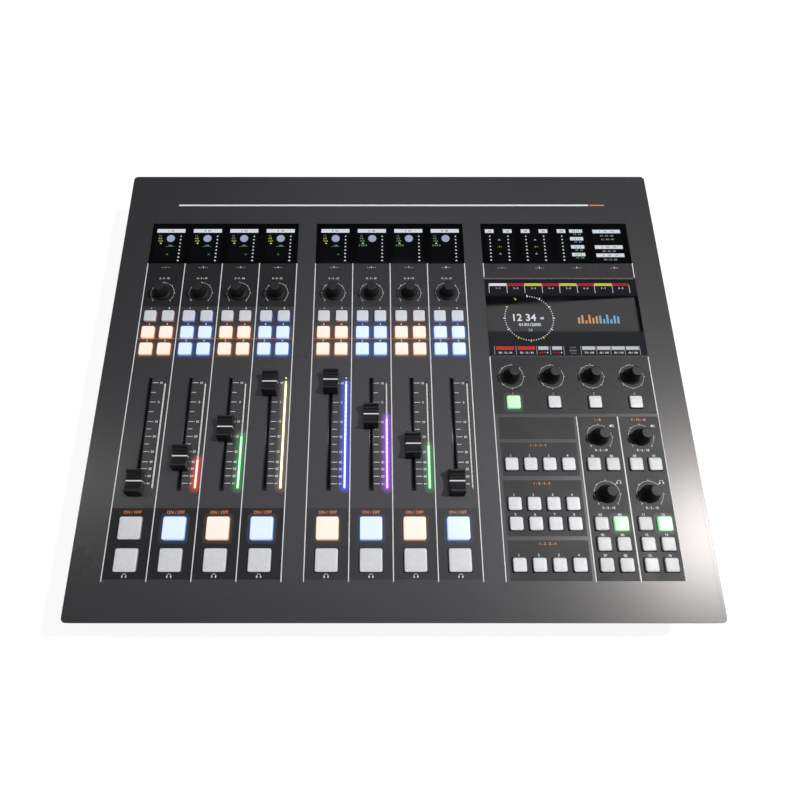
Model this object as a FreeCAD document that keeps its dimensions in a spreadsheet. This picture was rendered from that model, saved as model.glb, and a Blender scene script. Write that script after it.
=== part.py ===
"""Digital mixing console: a flat control surface with eight fader channels and a master section.

Frame: millimetres, +X to the operator's right, +Y away from the operator, +Z up.
The origin is on the table, under the middle of the top panel.
Rows are shares of the panel's depth, counted from its front edge; columns are the
middles of strips of one width, four to a block.
"""
import FreeCAD, Part

import math
import os
import re

import Sketcher

Vector = FreeCAD.Vector

# Driving dimensions in millimetres: alias, value, meaning.
SIZES = [
    ("panel_wide", 580.0, "top panel, left to right"),
    ("panel_deep", 470.0, "top panel, front to back"),
    ("panel_thick", 2.0, "top panel sheet, and the glass set flush in it"),
    ("panel_corner", 4.5, "rounding of the panel's four corners"),
    ("edge_roll", 2.0, "bend radius where the panel's sheet turns down"),
    ("lip_tall", 12.0, "turned-down lip below the panel's sheet"),
    ("case_inset", 12.0, "how far the case stays inside the panel's edge"),
    ("case_tall", 58.0, "case, from the feet up to the panel's underside"),
    ("case_corner", 5.0, "rounding of the case's upright corners"),
    ("sheet_thick", 1.5, "sheet of the case and of its mounting angles"),
    ("foot_wide", 20.0, "rubber foot where it meets the case"),
    ("foot_base", 17.0, "rubber foot where it meets the table"),
    ("foot_tall", 6.0, "rubber foot"),
    ("foot_inset", 32.0, "foot's axis from the case's sides"),
    ("side_margin", 30.0, "bare panel outside the first and the last strip"),
    ("block_gap", 20.0, "bare panel between two blocks of four strips"),
    ("window_deep", 50.0, "display window, front to back"),
    ("screen_deep", 87.0, "touch screen, front to back"),
    ("glass_gap", 0.2, "gap round each glass in its cut-out"),
    ("channel_key_pitch", 18.4, "spacing of the small channel keys"),
    ("master_key_pitch", 18.0, "spacing of the small master keys"),
    ("key_side", 12.2, "small key cap"),
    ("big_key_side", 20.4, "large key cap"),
    ("key_corner", 1.5, "corner of a key cap"),
    ("key_bevel", 0.6, "bevel round the top of a key cap"),
    ("key_proud", 3.0, "key cap above the panel"),
    ("key_deep", 6.0, "key cap below the panel's top face"),
    ("key_travel", 1.5, "travel of a pressed key"),
    ("key_gap", 0.5, "gap round a key in its cut-out"),
    ("key_spare", 0.5, "gap left under a fully pressed key"),
    ("switch_side", 6.0, "switch under each key"),
    ("fader_travel", 100.0, "full travel of a fader"),
    ("slot_long", 115.0, "fader slot in the panel"),
    ("slot_wide", 2.4, "fader slot in the panel"),
    ("cap_wide", 14.6, "fader cap, left to right"),
    ("cap_long", 25.0, "fader cap, front to back, at its foot"),
    ("cap_tall", 13.0, "fader cap at its raised ends"),
    ("cap_dip", 3.6, "depth of the finger dip"),
    ("cap_end", 2.6, "flat top of each raised end"),
    ("cap_slope", 1.4, "lean of each end face"),
    ("cap_edge", 0.65, "bevel along the cap's raised ends"),
    ("cap_gap", 1.0, "gap between the cap and the panel"),
    ("rib_wide", 0.8, "groove across the finger dip"),
    ("rib_deep", 0.6, "depth of those grooves"),
    ("rib_pitch", 2.1, "spacing of those grooves"),
    ("mark_wide", 1.1, "raised index line across the cap"),
    ("mark_tall", 0.4, "height of the index line above the dip"),
    ("lever_wide", 1.6, "fader lever through the slot"),
    ("lever_long", 4.0, "fader lever, front to back"),
    ("lever_in", 5.0, "lever's reach into its cap"),
    ("carriage_wide", 8.0, "fader carriage"),
    ("carriage_long", 8.0, "fader carriage, front to back"),
    ("carriage_tall", 4.0, "fader carriage"),
    ("carriage_gap", 0.3, "running gap round the carriage"),
    ("housing_wall", 1.8, "wall of the fader housing"),
    ("bar_wide", 1.8, "light bar beside each fader"),
    ("bar_long", 105.0, "light bar, front to back"),
    ("bar_in", 5.0, "light bar's middle from the right edge of its strip"),
    ("bar_gap", 0.2, "gap round a light bar in its slot"),
    ("knob_wide", 17.0, "knob skirt"),
    ("knob_tall", 17.0, "knob"),
    ("knob_waist", 12.6, "knob where the skirt meets the grip"),
    ("knob_top", 9.6, "knob at its top"),
    ("skirt_edge", 1.2, "upright edge of the skirt"),
    ("skirt_rise", 3.4, "height at which the skirt meets the grip"),
    ("knob_gap", 0.5, "gap between a knob and the panel"),
    ("shaft_wide", 6.0, "encoder shaft"),
    ("shaft_gap", 0.05, "running gap round the shaft in its bearing"),
    ("shaft_hole_gap", 0.7, "gap round the shaft where it passes the panel"),
    ("shaft_in", 8.0, "shaft's reach into the encoder"),
    ("encoder_side", 12.0, "encoder body"),
    ("board_gap", 10.0, "space between the panel and the boards under it"),
    ("board_thick", 1.6, "circuit board"),
    ("board_edge", 2.0, "board's edge inside its block's edge"),
    ("board_over", 10.0, "board's reach past the first and last rows"),
    ("module_edge", 1.5, "edge between a display module and its bay"),
    ("spacer_wide", 5.5, "hexagonal spacer across its flats"),
    ("floor_gap", 6.0, "space under the processor board"),
    ("processor_wide", 130.0, "processor board"),
    ("processor_deep", 92.0, "processor board, front to back"),
    ("processor_in", 128.0, "middle of the processor board in from the case's right side"),
    ("processor_edge", 1.0, "gap between the processor board and the rear wall"),
    ("sockets_wide", 33.0, "network socket block"),
    ("sockets_deep", 21.0, "network socket block, front to back"),
    ("sockets_tall", 13.4, "network socket block"),
    ("sockets_left", 20.0, "network sockets, to the left of the processor board's middle"),
    ("port_wide", 11.8, "mouth of a network socket"),
    ("port_tall", 8.0, "mouth of a network socket"),
    ("port_deep", 13.0, "depth of a network socket"),
    ("port_pitch", 16.0, "spacing of the network sockets"),
    ("port_lift", 2.6, "socket mouth above the board"),
    ("inlet_right", 30.0, "power inlet, to the right of the processor board's middle"),
    ("inlet_wide", 11.0, "power inlet's barrel"),
    ("inlet_flange", 15.0, "power inlet's flange"),
    ("inlet_lip", 1.6, "thickness of the power inlet's flange"),
    ("inlet_deep", 14.0, "power inlet's reach behind its flange"),
    ("inlet_bore", 5.6, "mouth of the power inlet"),
    ("inlet_pin", 2.0, "contact pin in the power inlet"),
    ("inlet_bore_deep", 9.5, "depth of the power inlet's mouth"),
    ("fit_gap", 0.2, "gap round a rear connector in the wall"),
    ("angle_leg", 12.0, "leg of a mounting angle"),
    ("angle_long", 380.0, "mounting angle, front to back"),
]

# Rows of the layout: alias, share of the panel's depth counted from its front edge, meaning.
ROWS = [
    ("front_spacer_row", 0.0723, "front spacers"),
    ("master_keys_row", 0.1021, "front row of the small master keys"),
    ("pfl_row", 0.1106, "listen keys"),
    ("on_row", 0.1702, "start keys"),
    ("low_volume_row", 0.2364, "headphone volume knobs"),
    ("low_spacer_row", 0.2585, "spacers behind the start keys"),
    ("snapshot_row", 0.2957, "snapshot and speaker keys"),
    ("high_volume_row", 0.3521, "speaker volume knobs"),
    ("light_row", 0.3596, "middle of the light bars"),
    ("fader_row", 0.3649, "middle of the fader travel"),
    ("encoder_keys_row", 0.4266, "keys in front of the encoders"),
    ("encoder_row", 0.4845, "master encoders"),
    ("high_spacer_row", 0.5149, "spacers behind the faders"),
    ("channel_keys_row", 0.5472, "front row of the small channel keys"),
    ("screen_row", 0.6255, "middle of the touch screen"),
    ("gain_row", 0.6838, "gain knobs"),
    ("window_row", 0.8128, "middle of the three display windows"),
]

# Where each fader stands, as a share of its travel counted up from its lowest position.
FADER_RESTS = [0.0, 0.235, 0.52, 0.98, 1.0, 0.645, 0.355, 0.0]

CHANNELS = 8
STRIPS = 4  # strips in a block
BLOCKS = 3  # two channel blocks and the master block
MASTER = 2  # index of the master block
HALF_ROUND = "half round"

doc = FreeCAD.newDocument("mixing_console")
sheet = doc.addObject("Spreadsheet::Sheet", "sizes")
nodes = []
REFERENCES = {}  # alias to its reference in a formula


def fill_sheet():
    """Write the driving dimensions and the shares, one row each.

    A share's alias stands for a length in a formula: the share times the length it divides.
    """
    rests = [
        (f"fader_rest_{number}", rest, f"rest place of fader {number}")
        for number, rest in enumerate(FADER_RESTS, 1)
    ]
    tables = ((SIZES, None), (ROWS, "panel_deep"), (rests, "fader_travel"))
    row = 0
    for table, whole in tables:
        for alias, number, meaning in table:
            row += 1
            sheet.set(f"A{row}", meaning)
            sheet.set(f"B{row}", str(number))
            sheet.setAlias(f"B{row}", alias)
            REFERENCES[alias] = f"( sizes.{alias} * sizes.{whole} )" if whole else f"sizes.{alias}"
    doc.recompute()


def bound(text):
    """Turn the aliases in a formula into references to the sheet."""
    return re.sub("[a-z][a-z0-9_]*", lambda word: REFERENCES.get(word[0], word[0]), text)


def value(text):
    """The present value of a formula."""
    return float(sheet.evalExpression(bound(text)))


# ---------------------------------------------------------------- places

PANEL_UNDER = "foot_tall + case_tall"
PANEL_TOP = f"{PANEL_UNDER} + panel_thick"
BOARD_TOP = f"{PANEL_UNDER} - board_gap"
CASE_WIDE = "panel_wide - 2 * case_inset"
CASE_DEEP = "panel_deep - 2 * case_inset"
CASE_FLOOR = "foot_tall + sheet_thick"
BARE_WIDE = f"( 2 * side_margin + {BLOCKS - 1} * block_gap )"
STRIP_WIDE = f"( ( panel_wide - {BARE_WIDE} ) / {BLOCKS * STRIPS} )"
BLOCK_WIDE = f"{STRIPS} * {STRIP_WIDE}"
BLOCK_PITCH = f"{BLOCK_WIDE} + block_gap"
PROCESSOR_TOP = f"{CASE_FLOOR} + floor_gap + board_thick"
PROCESSOR_X = f"( ( {CASE_WIDE} ) / 2 - processor_in )"
PROCESSOR_Y = f"( {CASE_DEEP} ) / 2 - sheet_thick - processor_edge - processor_deep / 2"
SOCKETS_X = f"{PROCESSOR_X} - sockets_left"
INLET_X = f"{PROCESSOR_X} + inlet_right"
INLET_AXIS = f"{PROCESSOR_TOP} + sockets_tall / 2"


def block_x(block):
    """Middle of a block."""
    return f"( {block - 1} ) * ( {BLOCK_PITCH} )"


def strip_x(block, strip):
    """Middle of a strip."""
    return f"{block_x(block)} + ( {strip - (STRIPS - 1) / 2} ) * {STRIP_WIDE}"


def channel_x(channel):
    """Middle of a channel strip, counted from 0 at the left."""
    return strip_x(channel // STRIPS, channel % STRIPS)


def light_bar_x(channel):
    """Middle of a channel's light bar."""
    return f"{channel_x(channel)} + {STRIP_WIDE} / 2 - bar_in"


def from_front(row):
    """Y of a row that is given as a distance from the panel's front edge."""
    return f"{row} - panel_deep / 2"


# ---------------------------------------------------------------- sketching


def origin_plane(body, role):
    return next(item for item in body.Origin.OriginFeatures if item.Role == role)


def new_sketch(body, name, role="XY_Plane", lift=None):
    """A sketch on one of the body's own origin planes, moved along its normal by lift."""
    sketch = body.newObject("Sketcher::SketchObject", name)
    sketch.AttachmentSupport = [(origin_plane(body, role), "")]
    sketch.MapMode = "FlatFace"
    if lift:
        sketch.setExpression("AttachmentOffset.Base.z", bound(lift))
    return sketch


def bind(sketch, constraint, text):
    """Add a dimension that follows a formula."""
    index = sketch.addConstraint(constraint)
    name = f"size_{index}"
    sketch.renameConstraint(index, name)
    sketch.setExpression(f"Constraints.{name}", bound(text))


def hold_point(sketch, geometry, end, x, y):
    """Tie a point to the origin by formulas."""
    for kind, axis, text in (("DistanceX", -2, x), ("DistanceY", -1, y)):
        if abs(value(text)) < 1e-9:
            sketch.addConstraint(Sketcher.Constraint("PointOnObject", geometry, end, axis))
        else:
            bind(sketch, Sketcher.Constraint(kind, -1, 1, geometry, end, value(text)), text)


def outline(sketch, points, arcs=()):
    """A closed outline through points given as formulas.

    arcs maps the number of a side to the height of its bulge: positive bulges lie on the
    right of the direction of travel. A bulge of HALF_ROUND is a half circle on a level side.
    """
    arcs = dict(arcs)
    first = sketch.GeometryCount
    count = len(points)
    places = [Vector(value(x), value(y), 0) for x, y in points]
    ends = [(1, 2)] * count
    for side in range(count):
        start, end = places[side], places[(side + 1) % count]
        if side not in arcs:
            sketch.addGeometry(Part.LineSegment(start, end), False)
            continue
        half_round = arcs[side] == HALF_ROUND
        bulge = (end - start).Length / 2 if half_round else value(arcs[side])
        if bulge < 0:
            ends[side] = (2, 1)
            start, end = end, start
        sketch.addGeometry(arc_between(start, end, abs(bulge)), False)
    for side in range(count):
        after = (side + 1) % count
        here, there = first + side, first + after
        joint = Sketcher.Constraint("Coincident", here, ends[side][1], there, ends[after][0])
        sketch.addConstraint(joint)
    for side, (x, y) in enumerate(points):
        hold_point(sketch, first + side, ends[side][0], x, y)
    for side, bulge in arcs.items():
        arc = first + side
        if bulge == HALF_ROUND:
            sketch.addConstraint(Sketcher.Constraint("Horizontal", arc, 3, arc, 1))
            continue
        x1, y1 = points[side]
        x2, y2 = points[(side + 1) % count]
        chord = f"( ( {x2} - ( {x1} ) ) ^ 2 + ( {y2} - ( {y1} ) ) ^ 2 )"
        radius = f"{chord} / ( 8 * abs({bulge}) ) + abs({bulge}) / 2"
        bind(sketch, Sketcher.Constraint("Radius", arc, value(radius)), radius)


def arc_between(start, end, bulge):
    """An anticlockwise arc that stands out by bulge on the right of start to end."""
    chord = end - start
    radius = chord.Length**2 / (8 * bulge) + bulge / 2
    outward = Vector(chord.y, -chord.x, 0).normalize()
    centre = (start + end) / 2 + outward * (bulge - radius)
    first, last = (math.atan2(p.y - centre.y, p.x - centre.x) for p in (start, end))
    return Part.ArcOfCircle(Part.Circle(centre, Vector(0, 0, 1), radius), first, last)


def rectangle(sketch, x, y, wide, deep):
    """A rectangle about a point."""
    left, right = f"{x} - ( {wide} ) / 2", f"{x} + ( {wide} ) / 2"
    front, back = f"{y} - ( {deep} ) / 2", f"{y} + ( {deep} ) / 2"
    outline(sketch, [(left, front), (right, front), (right, back), (left, back)])


def circle(sketch, x, y, diameter):
    """A circle about a point."""
    geometry = sketch.addGeometry(
        Part.Circle(Vector(value(x), value(y), 0), Vector(0, 0, 1), value(diameter) / 2), False
    )
    hold_point(sketch, geometry, 3, x, y)
    bind(sketch, Sketcher.Constraint("Diameter", geometry, value(diameter)), diameter)


# ---------------------------------------------------------------- features


def new_body(name):
    return doc.addObject("PartDesign::Body", name)


def pad(body, sketch, name, height, down=False, both=False):
    feature = body.newObject("PartDesign::Pad", name)
    feature.Profile = sketch
    feature.Reversed = down
    feature.Midplane = both
    feature.setExpression("Length", bound(height))
    doc.recompute()
    return feature


def pocket(body, sketch, name, depth=None, up=False, both=False):
    """Cut a sketch out, to a depth or right through."""
    before = body.Tip.Shape.Volume
    feature = body.newObject("PartDesign::Pocket", name)
    feature.Profile = sketch
    feature.Reversed = up
    feature.Midplane = both
    if depth:
        feature.setExpression("Length", bound(depth))
    else:
        feature.Type = "ThroughAll"
    doc.recompute()
    if not feature.Shape.Volume < before:
        raise ValueError(f"{name} cuts nothing")
    return feature


def revolve(body, sketch, name, axis="Z_Axis"):
    feature = body.newObject("PartDesign::Revolution", name)
    feature.Profile = sketch
    feature.ReferenceAxis = (origin_plane(body, axis), [""])
    feature.Angle = 360.0
    doc.recompute()
    return feature


def edges_where(feature, test):
    """Names of the edges whose middle and direction pass a test."""
    names = []
    for number, edge in enumerate(feature.Shape.Edges, 1):
        middle = (edge.FirstParameter + edge.LastParameter) / 2
        if test(edge.valueAt(middle), edge.tangentAt(middle)):
            names.append(f"Edge{number}")
    return names


def soften(body, base, name, kind, size, test):
    """Fillet or chamfer the edges of the last feature that pass a test."""
    feature = body.newObject(f"PartDesign::{kind}", name)
    feature.Base = (base, edges_where(base, test))
    feature.setExpression("Radius" if kind == "Fillet" else "Size", bound(size))
    doc.recompute()
    return feature


def upright(point, direction):
    return abs(direction.z) > 0.99


def flat_at(height):
    """A test for edges that lie level at a height."""
    level = value(height)
    return lambda point, direction: abs(point.z - level) < 1e-4 and abs(direction.z) < 1e-4


def place(item, x="0", y="0", z="0", turn=0.0):
    """Set an object's Placement by formulas."""
    item.Placement = FreeCAD.Placement(Vector(0, 0, 0), FreeCAD.Rotation(Vector(0, 0, 1), turn))
    for axis, text in (("x", x), ("y", y), ("z", z)):
        item.setExpression(f"Placement.Base.{axis}", bound(text))


def node(item, label, *position):
    """Register a sub-part that gets a file of its own."""
    item.Label = label
    place(item, *position)
    nodes.append(item)
    return item


def copies_of(name, copies):
    """Placed copies as one compound: each is (shape, x, y, z) or (shape, x, y, z, turn)."""
    links = []
    for master, *where in copies:
        link = doc.addObject("App::Link", f"{name}_piece")
        link.LinkedObject = master
        place(link, *where)
        links.append(link)
    group = doc.addObject("Part::Compound", name)
    group.Links = links
    return group


def node_of(label, copies):
    """A sub-part made of placed copies."""
    group = copies_of(label, copies)
    group.Label = label
    nodes.append(group)
    return group


def box_body(name, wide, deep, tall):
    """A plain block standing on its own XY plane."""
    body = new_body(name)
    sketch = new_sketch(body, f"{name}_outline")
    rectangle(sketch, "0", "0", wide, deep)
    pad(body, sketch, f"{name}_block", tall)
    return body


# ---------------------------------------------------------------- top panel

CUTTER_TALL = "3 * panel_thick"
CUTTER_BASE = "0 - 2 * panel_thick"


def panel_blank():
    """Folded sheet with a turned-down lip; its own XY plane is the top face."""
    body = new_body("panel_blank")
    sketch = new_sketch(body, "panel_outline")
    rectangle(sketch, "0", "0", "panel_wide", "panel_deep")
    blank = pad(body, sketch, "panel_sheet", "panel_thick + lip_tall", down=True)
    corners = soften(body, blank, "panel_corners", "Fillet", "panel_corner", upright)
    soften(body, corners, "panel_bend", "Fillet", "edge_roll", flat_at("0"))
    sketch = new_sketch(body, "panel_hollow", lift="0 - panel_thick - lip_tall")
    rectangle(sketch, "0", "0", "panel_wide - 2 * panel_thick", "panel_deep - 2 * panel_thick")
    pocket(body, sketch, "panel_inside", "lip_tall", up=True)
    return body


def slot_cutter():
    """A bar with round ends, for a fader's lever."""
    body = new_body("slot_cutter")
    sketch = new_sketch(body, "slot_outline")
    left, right = "0 - slot_wide / 2", "slot_wide / 2"
    front, back = (f"{sign} ( slot_long - slot_wide ) / 2" for sign in ("0 -", "0 +"))
    corners = [(left, front), (right, front), (right, back), (left, back)]
    outline(sketch, corners, {0: HALF_ROUND, 2: HALF_ROUND})
    pad(body, sketch, "slot_length", CUTTER_TALL)
    return body


def shaft_cutter():
    """A round bar, for an encoder's shaft."""
    body = new_body("shaft_cutter")
    sketch = new_sketch(body, "shaft_hole_outline")
    circle(sketch, "0", "0", "shaft_wide + 2 * shaft_hole_gap")
    pad(body, sketch, "shaft_hole_length", CUTTER_TALL)
    return body


def top_panel():
    """The folded sheet with a cut-out for every key, shaft, lever, light bar and glass."""
    key = box_body("key_cutter", "key_side + 2 * key_gap", "key_side + 2 * key_gap", CUTTER_TALL)
    big_side = "big_key_side + 2 * key_gap"
    big_key = box_body("big_key_cutter", big_side, big_side, CUTTER_TALL)
    cutters = []
    for size, spots in key_places().values():
        cutters += [(key if size == "small" else big_key, x, y) for x, y in spots]

    shaft = shaft_cutter()
    cutters += [(shaft, x, y) for x, y in knob_places().values()]

    slot = slot_cutter()
    bar_slot = "bar_wide + 2 * bar_gap", "bar_long + 2 * bar_gap"
    bar = box_body("bar_cutter", *bar_slot, CUTTER_TALL)
    row = from_front("fader_row")
    for channel in range(CHANNELS):
        cutters.append((slot, channel_x(channel), row))
        cutters.append((bar, light_bar_x(channel), from_front("light_row")))

    wide = f"{BLOCK_WIDE} + 2 * glass_gap"
    window = box_body("window_cutter", wide, "window_deep + 2 * glass_gap", CUTTER_TALL)
    screen = box_body("screen_cutter", wide, "screen_deep + 2 * glass_gap", CUTTER_TALL)
    cutters += [(window, block_x(block), from_front("window_row")) for block in range(BLOCKS)]
    cutters.append((screen, block_x(MASTER), from_front("screen_row")))

    panel = doc.addObject("Part::Cut", "top_panel")
    panel.Base = panel_blank()
    panel.Tool = copies_of("panel_cutters", [(*cutter, CUTTER_BASE) for cutter in cutters])
    doc.recompute()
    return node(panel, "top_panel", "0", "0", PANEL_TOP)


# ---------------------------------------------------------------- case


def base_tray():
    """Folded tray below the panel; its own XY plane is its underside."""
    body = new_body("base_tray")
    sketch = new_sketch(body, "tray_outline")
    rectangle(sketch, "0", "0", CASE_WIDE, CASE_DEEP)
    blank = pad(body, sketch, "tray_blank", "case_tall")
    corners = soften(body, blank, "tray_corners", "Fillet", "case_corner", upright)
    soften(body, corners, "tray_bend", "Chamfer", "sheet_thick / 2", flat_at("0"))
    sketch = new_sketch(body, "tray_hollow", lift="case_tall")
    rectangle(sketch, "0", "0", f"{CASE_WIDE} - 2 * sheet_thick", f"{CASE_DEEP} - 2 * sheet_thick")
    pocket(body, sketch, "tray_inside", "case_tall - sheet_thick")

    sketch = new_sketch(body, "rear_cut_outs", "XZ_Plane")
    rectangle(
        sketch,
        SOCKETS_X,
        f"{PROCESSOR_TOP} - foot_tall + sockets_tall / 2",
        "sockets_wide + 2 * fit_gap",
        "sockets_tall + 2 * fit_gap",
    )
    circle(sketch, INLET_X, f"{INLET_AXIS} - foot_tall", "inlet_wide + 2 * fit_gap")
    pocket(body, sketch, "rear_cuts")
    return node(body, "base_tray", "0", "0", "foot_tall")


def mounting_angles():
    """Angles welded under the panel, which the case's sides are fixed to."""
    body = new_body("mounting_angle")
    sketch = new_sketch(body, "angle_profile", "XZ_Plane")
    corner = [
        ("0", "0"),
        ("angle_leg", "0"),
        ("angle_leg", "0 - sheet_thick"),
        ("sheet_thick", "0 - sheet_thick"),
        ("sheet_thick", "0 - angle_leg"),
        ("0", "0 - angle_leg"),
    ]
    outline(sketch, corner)
    pad(body, sketch, "angle_length", "angle_long", both=True)
    edge = f"( {CASE_WIDE} ) / 2 - sheet_thick"
    copies = [(body, f"0 - ( {edge} )", "0", PANEL_UNDER), (body, edge, "0", PANEL_UNDER, 180.0)]
    return node_of("mounting_angles", copies)


def rubber_feet():
    """Tapered feet in the case's four corners."""
    body = new_body("rubber_foot")
    sketch = new_sketch(body, "foot_profile", "XZ_Plane")
    profile = [
        ("0", "0"),
        ("foot_base / 2", "0"),
        ("foot_wide / 2", "foot_tall"),
        ("0", "foot_tall"),
    ]
    outline(sketch, profile)
    revolve(body, sketch, "foot_turned")
    copies = []
    for side in (-1, 1):
        for end in (-1, 1):
            x = f"( {side} ) * ( ( {CASE_WIDE} ) / 2 - foot_inset )"
            y = f"( {end} ) * ( ( {CASE_DEEP} ) / 2 - foot_inset )"
            copies.append((body, x, y, "0"))
    return node_of("rubber_feet", copies)


# ---------------------------------------------------------------- glass and displays


def windows_and_displays():
    """The three display windows, the touch screen's glass and the modules behind them."""
    glass = box_body("display_glass", BLOCK_WIDE, "window_deep", "panel_thick")
    row = from_front("window_row")
    for block, side in enumerate(("left", "right", "master")):
        node_of(f"display_window_{side}", [(glass, block_x(block), row, PANEL_UNDER)])
    screen = box_body("touch_screen_glass", BLOCK_WIDE, "screen_deep", "panel_thick")
    screen_row = from_front("screen_row")
    node(screen, "touch_screen_glass", block_x(MASTER), screen_row, PANEL_UNDER)

    wide, deep = f"{STRIP_WIDE} - 2 * module_edge", "window_deep - 2 * module_edge"
    module = box_body("display_module", wide, deep, "board_gap")
    strips = [(block, strip) for block in range(BLOCKS) for strip in range(STRIPS)]
    copies = [(module, strip_x(*strip), row, BOARD_TOP) for strip in strips]
    node_of("display_modules", copies)

    wide, deep = f"{BLOCK_WIDE} - 2 * module_edge", "screen_deep - 2 * module_edge"
    panel = box_body("touch_screen_module", wide, deep, "board_gap")
    node(panel, "touch_screen_module", block_x(MASTER), screen_row, BOARD_TOP)


# ---------------------------------------------------------------- keys

FUNCTION_ROWS = (
    "master_keys_row",
    "master_keys_row + 2 * master_key_pitch",
    "master_keys_row + 3 * master_key_pitch",
    "snapshot_row",
)
MONITOR_ROWS = (
    "master_keys_row",
    "master_keys_row + master_key_pitch",
    "master_keys_row + 2 * master_key_pitch",
    "snapshot_row",
)
KEY_BASE = f"{PANEL_TOP} - key_deep"
SWITCH_TALL = "board_gap - ( key_deep - panel_thick ) - key_travel - key_spare"


def function_key_x(column):
    """Snapshot, smart and talk-back keys: four columns between the first two strips."""
    middle = f"{strip_x(MASTER, 0)} + {STRIP_WIDE} / 2"
    return f"{middle} + ( {column - 1.5} ) * master_key_pitch"


def monitor_key_x(strip, column):
    """Studio and control-room keys: two columns in a master strip."""
    return f"{strip_x(MASTER, strip)} + ( {column - 0.5} ) * master_key_pitch"


def key_cap(name, side):
    """A square cap with bevelled corners and top; its own XY plane is its underside."""
    body = box_body(name, side, side, "key_proud + key_deep")
    corners = soften(body, body.Tip, f"{name}_corners", "Chamfer", "key_corner", upright)
    soften(body, corners, f"{name}_top", "Chamfer", "key_bevel", flat_at("key_proud + key_deep"))
    return body


def key_places():
    """Where every key stands: node name to its size and its list of X and Y."""
    places = {}
    for channel in range(CHANNELS):
        spots = []
        for row in range(3):
            for column in range(2):
                x = f"{channel_x(channel)} + ( {column - 0.5} ) * channel_key_pitch"
                y = from_front(f"channel_keys_row + {row} * channel_key_pitch")
                spots.append((x, y))
        places[f"channel_{channel + 1}_keys"] = ("small", spots)
    for name, row in (("start_keys", "on_row"), ("listen_keys", "pfl_row")):
        spots = [(channel_x(channel), from_front(row)) for channel in range(CHANNELS)]
        places[name] = ("large", spots)
    encoder_row = from_front("encoder_keys_row")
    spots = [(strip_x(MASTER, strip), encoder_row) for strip in range(STRIPS)]
    places["encoder_keys"] = ("small", spots)
    talk, low_smart, high_smart, snapshot = FUNCTION_ROWS
    groups = {
        "snapshot_keys": [snapshot],
        "smart_keys": [high_smart, low_smart],
        "talk_back_keys": [talk],
    }
    for name, rows in groups.items():
        spots = [(function_key_x(c), from_front(row)) for row in rows for c in range(STRIPS)]
        places[name] = ("small", spots)
    for name, strip in (("studio_keys", 2), ("control_room_keys", 3)):
        spots = [(monitor_key_x(strip, c), from_front(r)) for r in MONITOR_ROWS for c in (0, 1)]
        places[name] = ("small", spots)
    return places


def keys_and_switches():
    """Every key cap, and the switch soldered under each."""
    caps = {
        "small": key_cap("small_key", "key_side"),
        "large": key_cap("large_key", "big_key_side"),
    }
    switch = box_body("key_switch", "switch_side", "switch_side", SWITCH_TALL)
    switches = []
    for name, (size, spots) in key_places().items():
        node_of(name, [(caps[size], x, y, KEY_BASE) for x, y in spots])
        switches += [(switch, x, y, BOARD_TOP) for x, y in spots]
    node_of("key_switches", switches)


# ---------------------------------------------------------------- faders

HOUSING_INSIDE = "carriage_wide + 2 * carriage_gap"
HOUSING_RUN = "fader_travel + carriage_long + 2 * carriage_gap"


def fader_cap():
    """The grip: raised ends, a ribbed finger dip between them and an index line across it.

    Its own XY plane is its underside. The side profile is drawn once and padded to the
    cap's width, so the grooves and the line run right across and show on both flanks.
    """
    body = new_body("fader_cap")
    sketch = new_sketch(body, "cap_side", "YZ_Plane")
    foot = "cap_long / 2"
    shoulder = "cap_long / 2 - cap_slope"
    dip_edge = "cap_long / 2 - cap_slope - cap_end"
    profile = [
        (f"0 - ( {foot} )", "0"),
        (foot, "0"),
        (shoulder, "cap_tall"),
        (dip_edge, "cap_tall"),
        (f"0 - ( {dip_edge} )", "cap_tall"),
        (f"0 - ( {shoulder} )", "cap_tall"),
    ]
    outline(sketch, profile, {3: "0 - cap_dip"})
    grip = pad(body, sketch, "cap_grip", "cap_wide", both=True)
    end_y = value(shoulder)

    def at_end(point, direction):
        return abs(abs(point.y) - end_y) < 1e-4 and abs(direction.x) > 0.99

    soften(body, grip, "cap_ends", "Chamfer", "cap_edge", at_end)
    cut_ribs(body)
    add_index_line(body)
    socket = new_sketch(body, "lever_socket")
    rectangle(socket, "0", "0", "lever_wide", "lever_long")
    pocket(body, socket, "lever_socket_cut", "lever_in", up=True)
    return body


def dip_height(y):
    """Height of the dip's surface above the cap's underside at a distance from its middle."""
    half = "( cap_long / 2 - cap_slope - cap_end )"
    radius = f"( {half} ^ 2 / ( 2 * cap_dip ) + cap_dip / 2 )"
    return f"cap_tall - cap_dip + {radius} - sqrt({radius} ^ 2 - ( {y} ) ^ 2)"


def cut_ribs(body):
    """Grooves across the dip, three each side of the index line."""
    sketch = new_sketch(body, "rib_grooves", "YZ_Plane")
    for side in (-1, 1):
        for step in (1, 2, 3):
            y = f"{step} * rib_pitch"
            floor = f"{dip_height(y)} - rib_deep"
            rectangle(
                sketch,
                f"( {side} ) * {y}",
                f"{floor} + cap_dip / 2",
                "rib_wide",
                "cap_dip",
            )
    pocket(body, sketch, "rib_cuts", both=True)


def add_index_line(body):
    """The line across the middle of the dip."""
    sketch = new_sketch(body, "index_line", "YZ_Plane")
    low, high = "cap_tall - cap_dip - rib_deep", "cap_tall - cap_dip + mark_tall"
    middle, tall = f"( {low} + {high} ) / 2", f"{high} - ( {low} )"
    rectangle(sketch, "0", middle, "mark_wide", tall)
    pad(body, sketch, "index_line_bar", "cap_wide", both=True)


def fader_carriage():
    """Carriage in the housing, with the lever that reaches up through the slot into the cap."""
    body = box_body("fader_carriage", "carriage_wide", "carriage_long", "carriage_tall")
    sketch = new_sketch(body, "lever_outline")
    rectangle(sketch, "0", "0", "lever_wide", "lever_long")
    above = "carriage_tall + carriage_gap + panel_thick + cap_gap + lever_in"
    pad(body, sketch, "lever", above)
    return body


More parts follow.
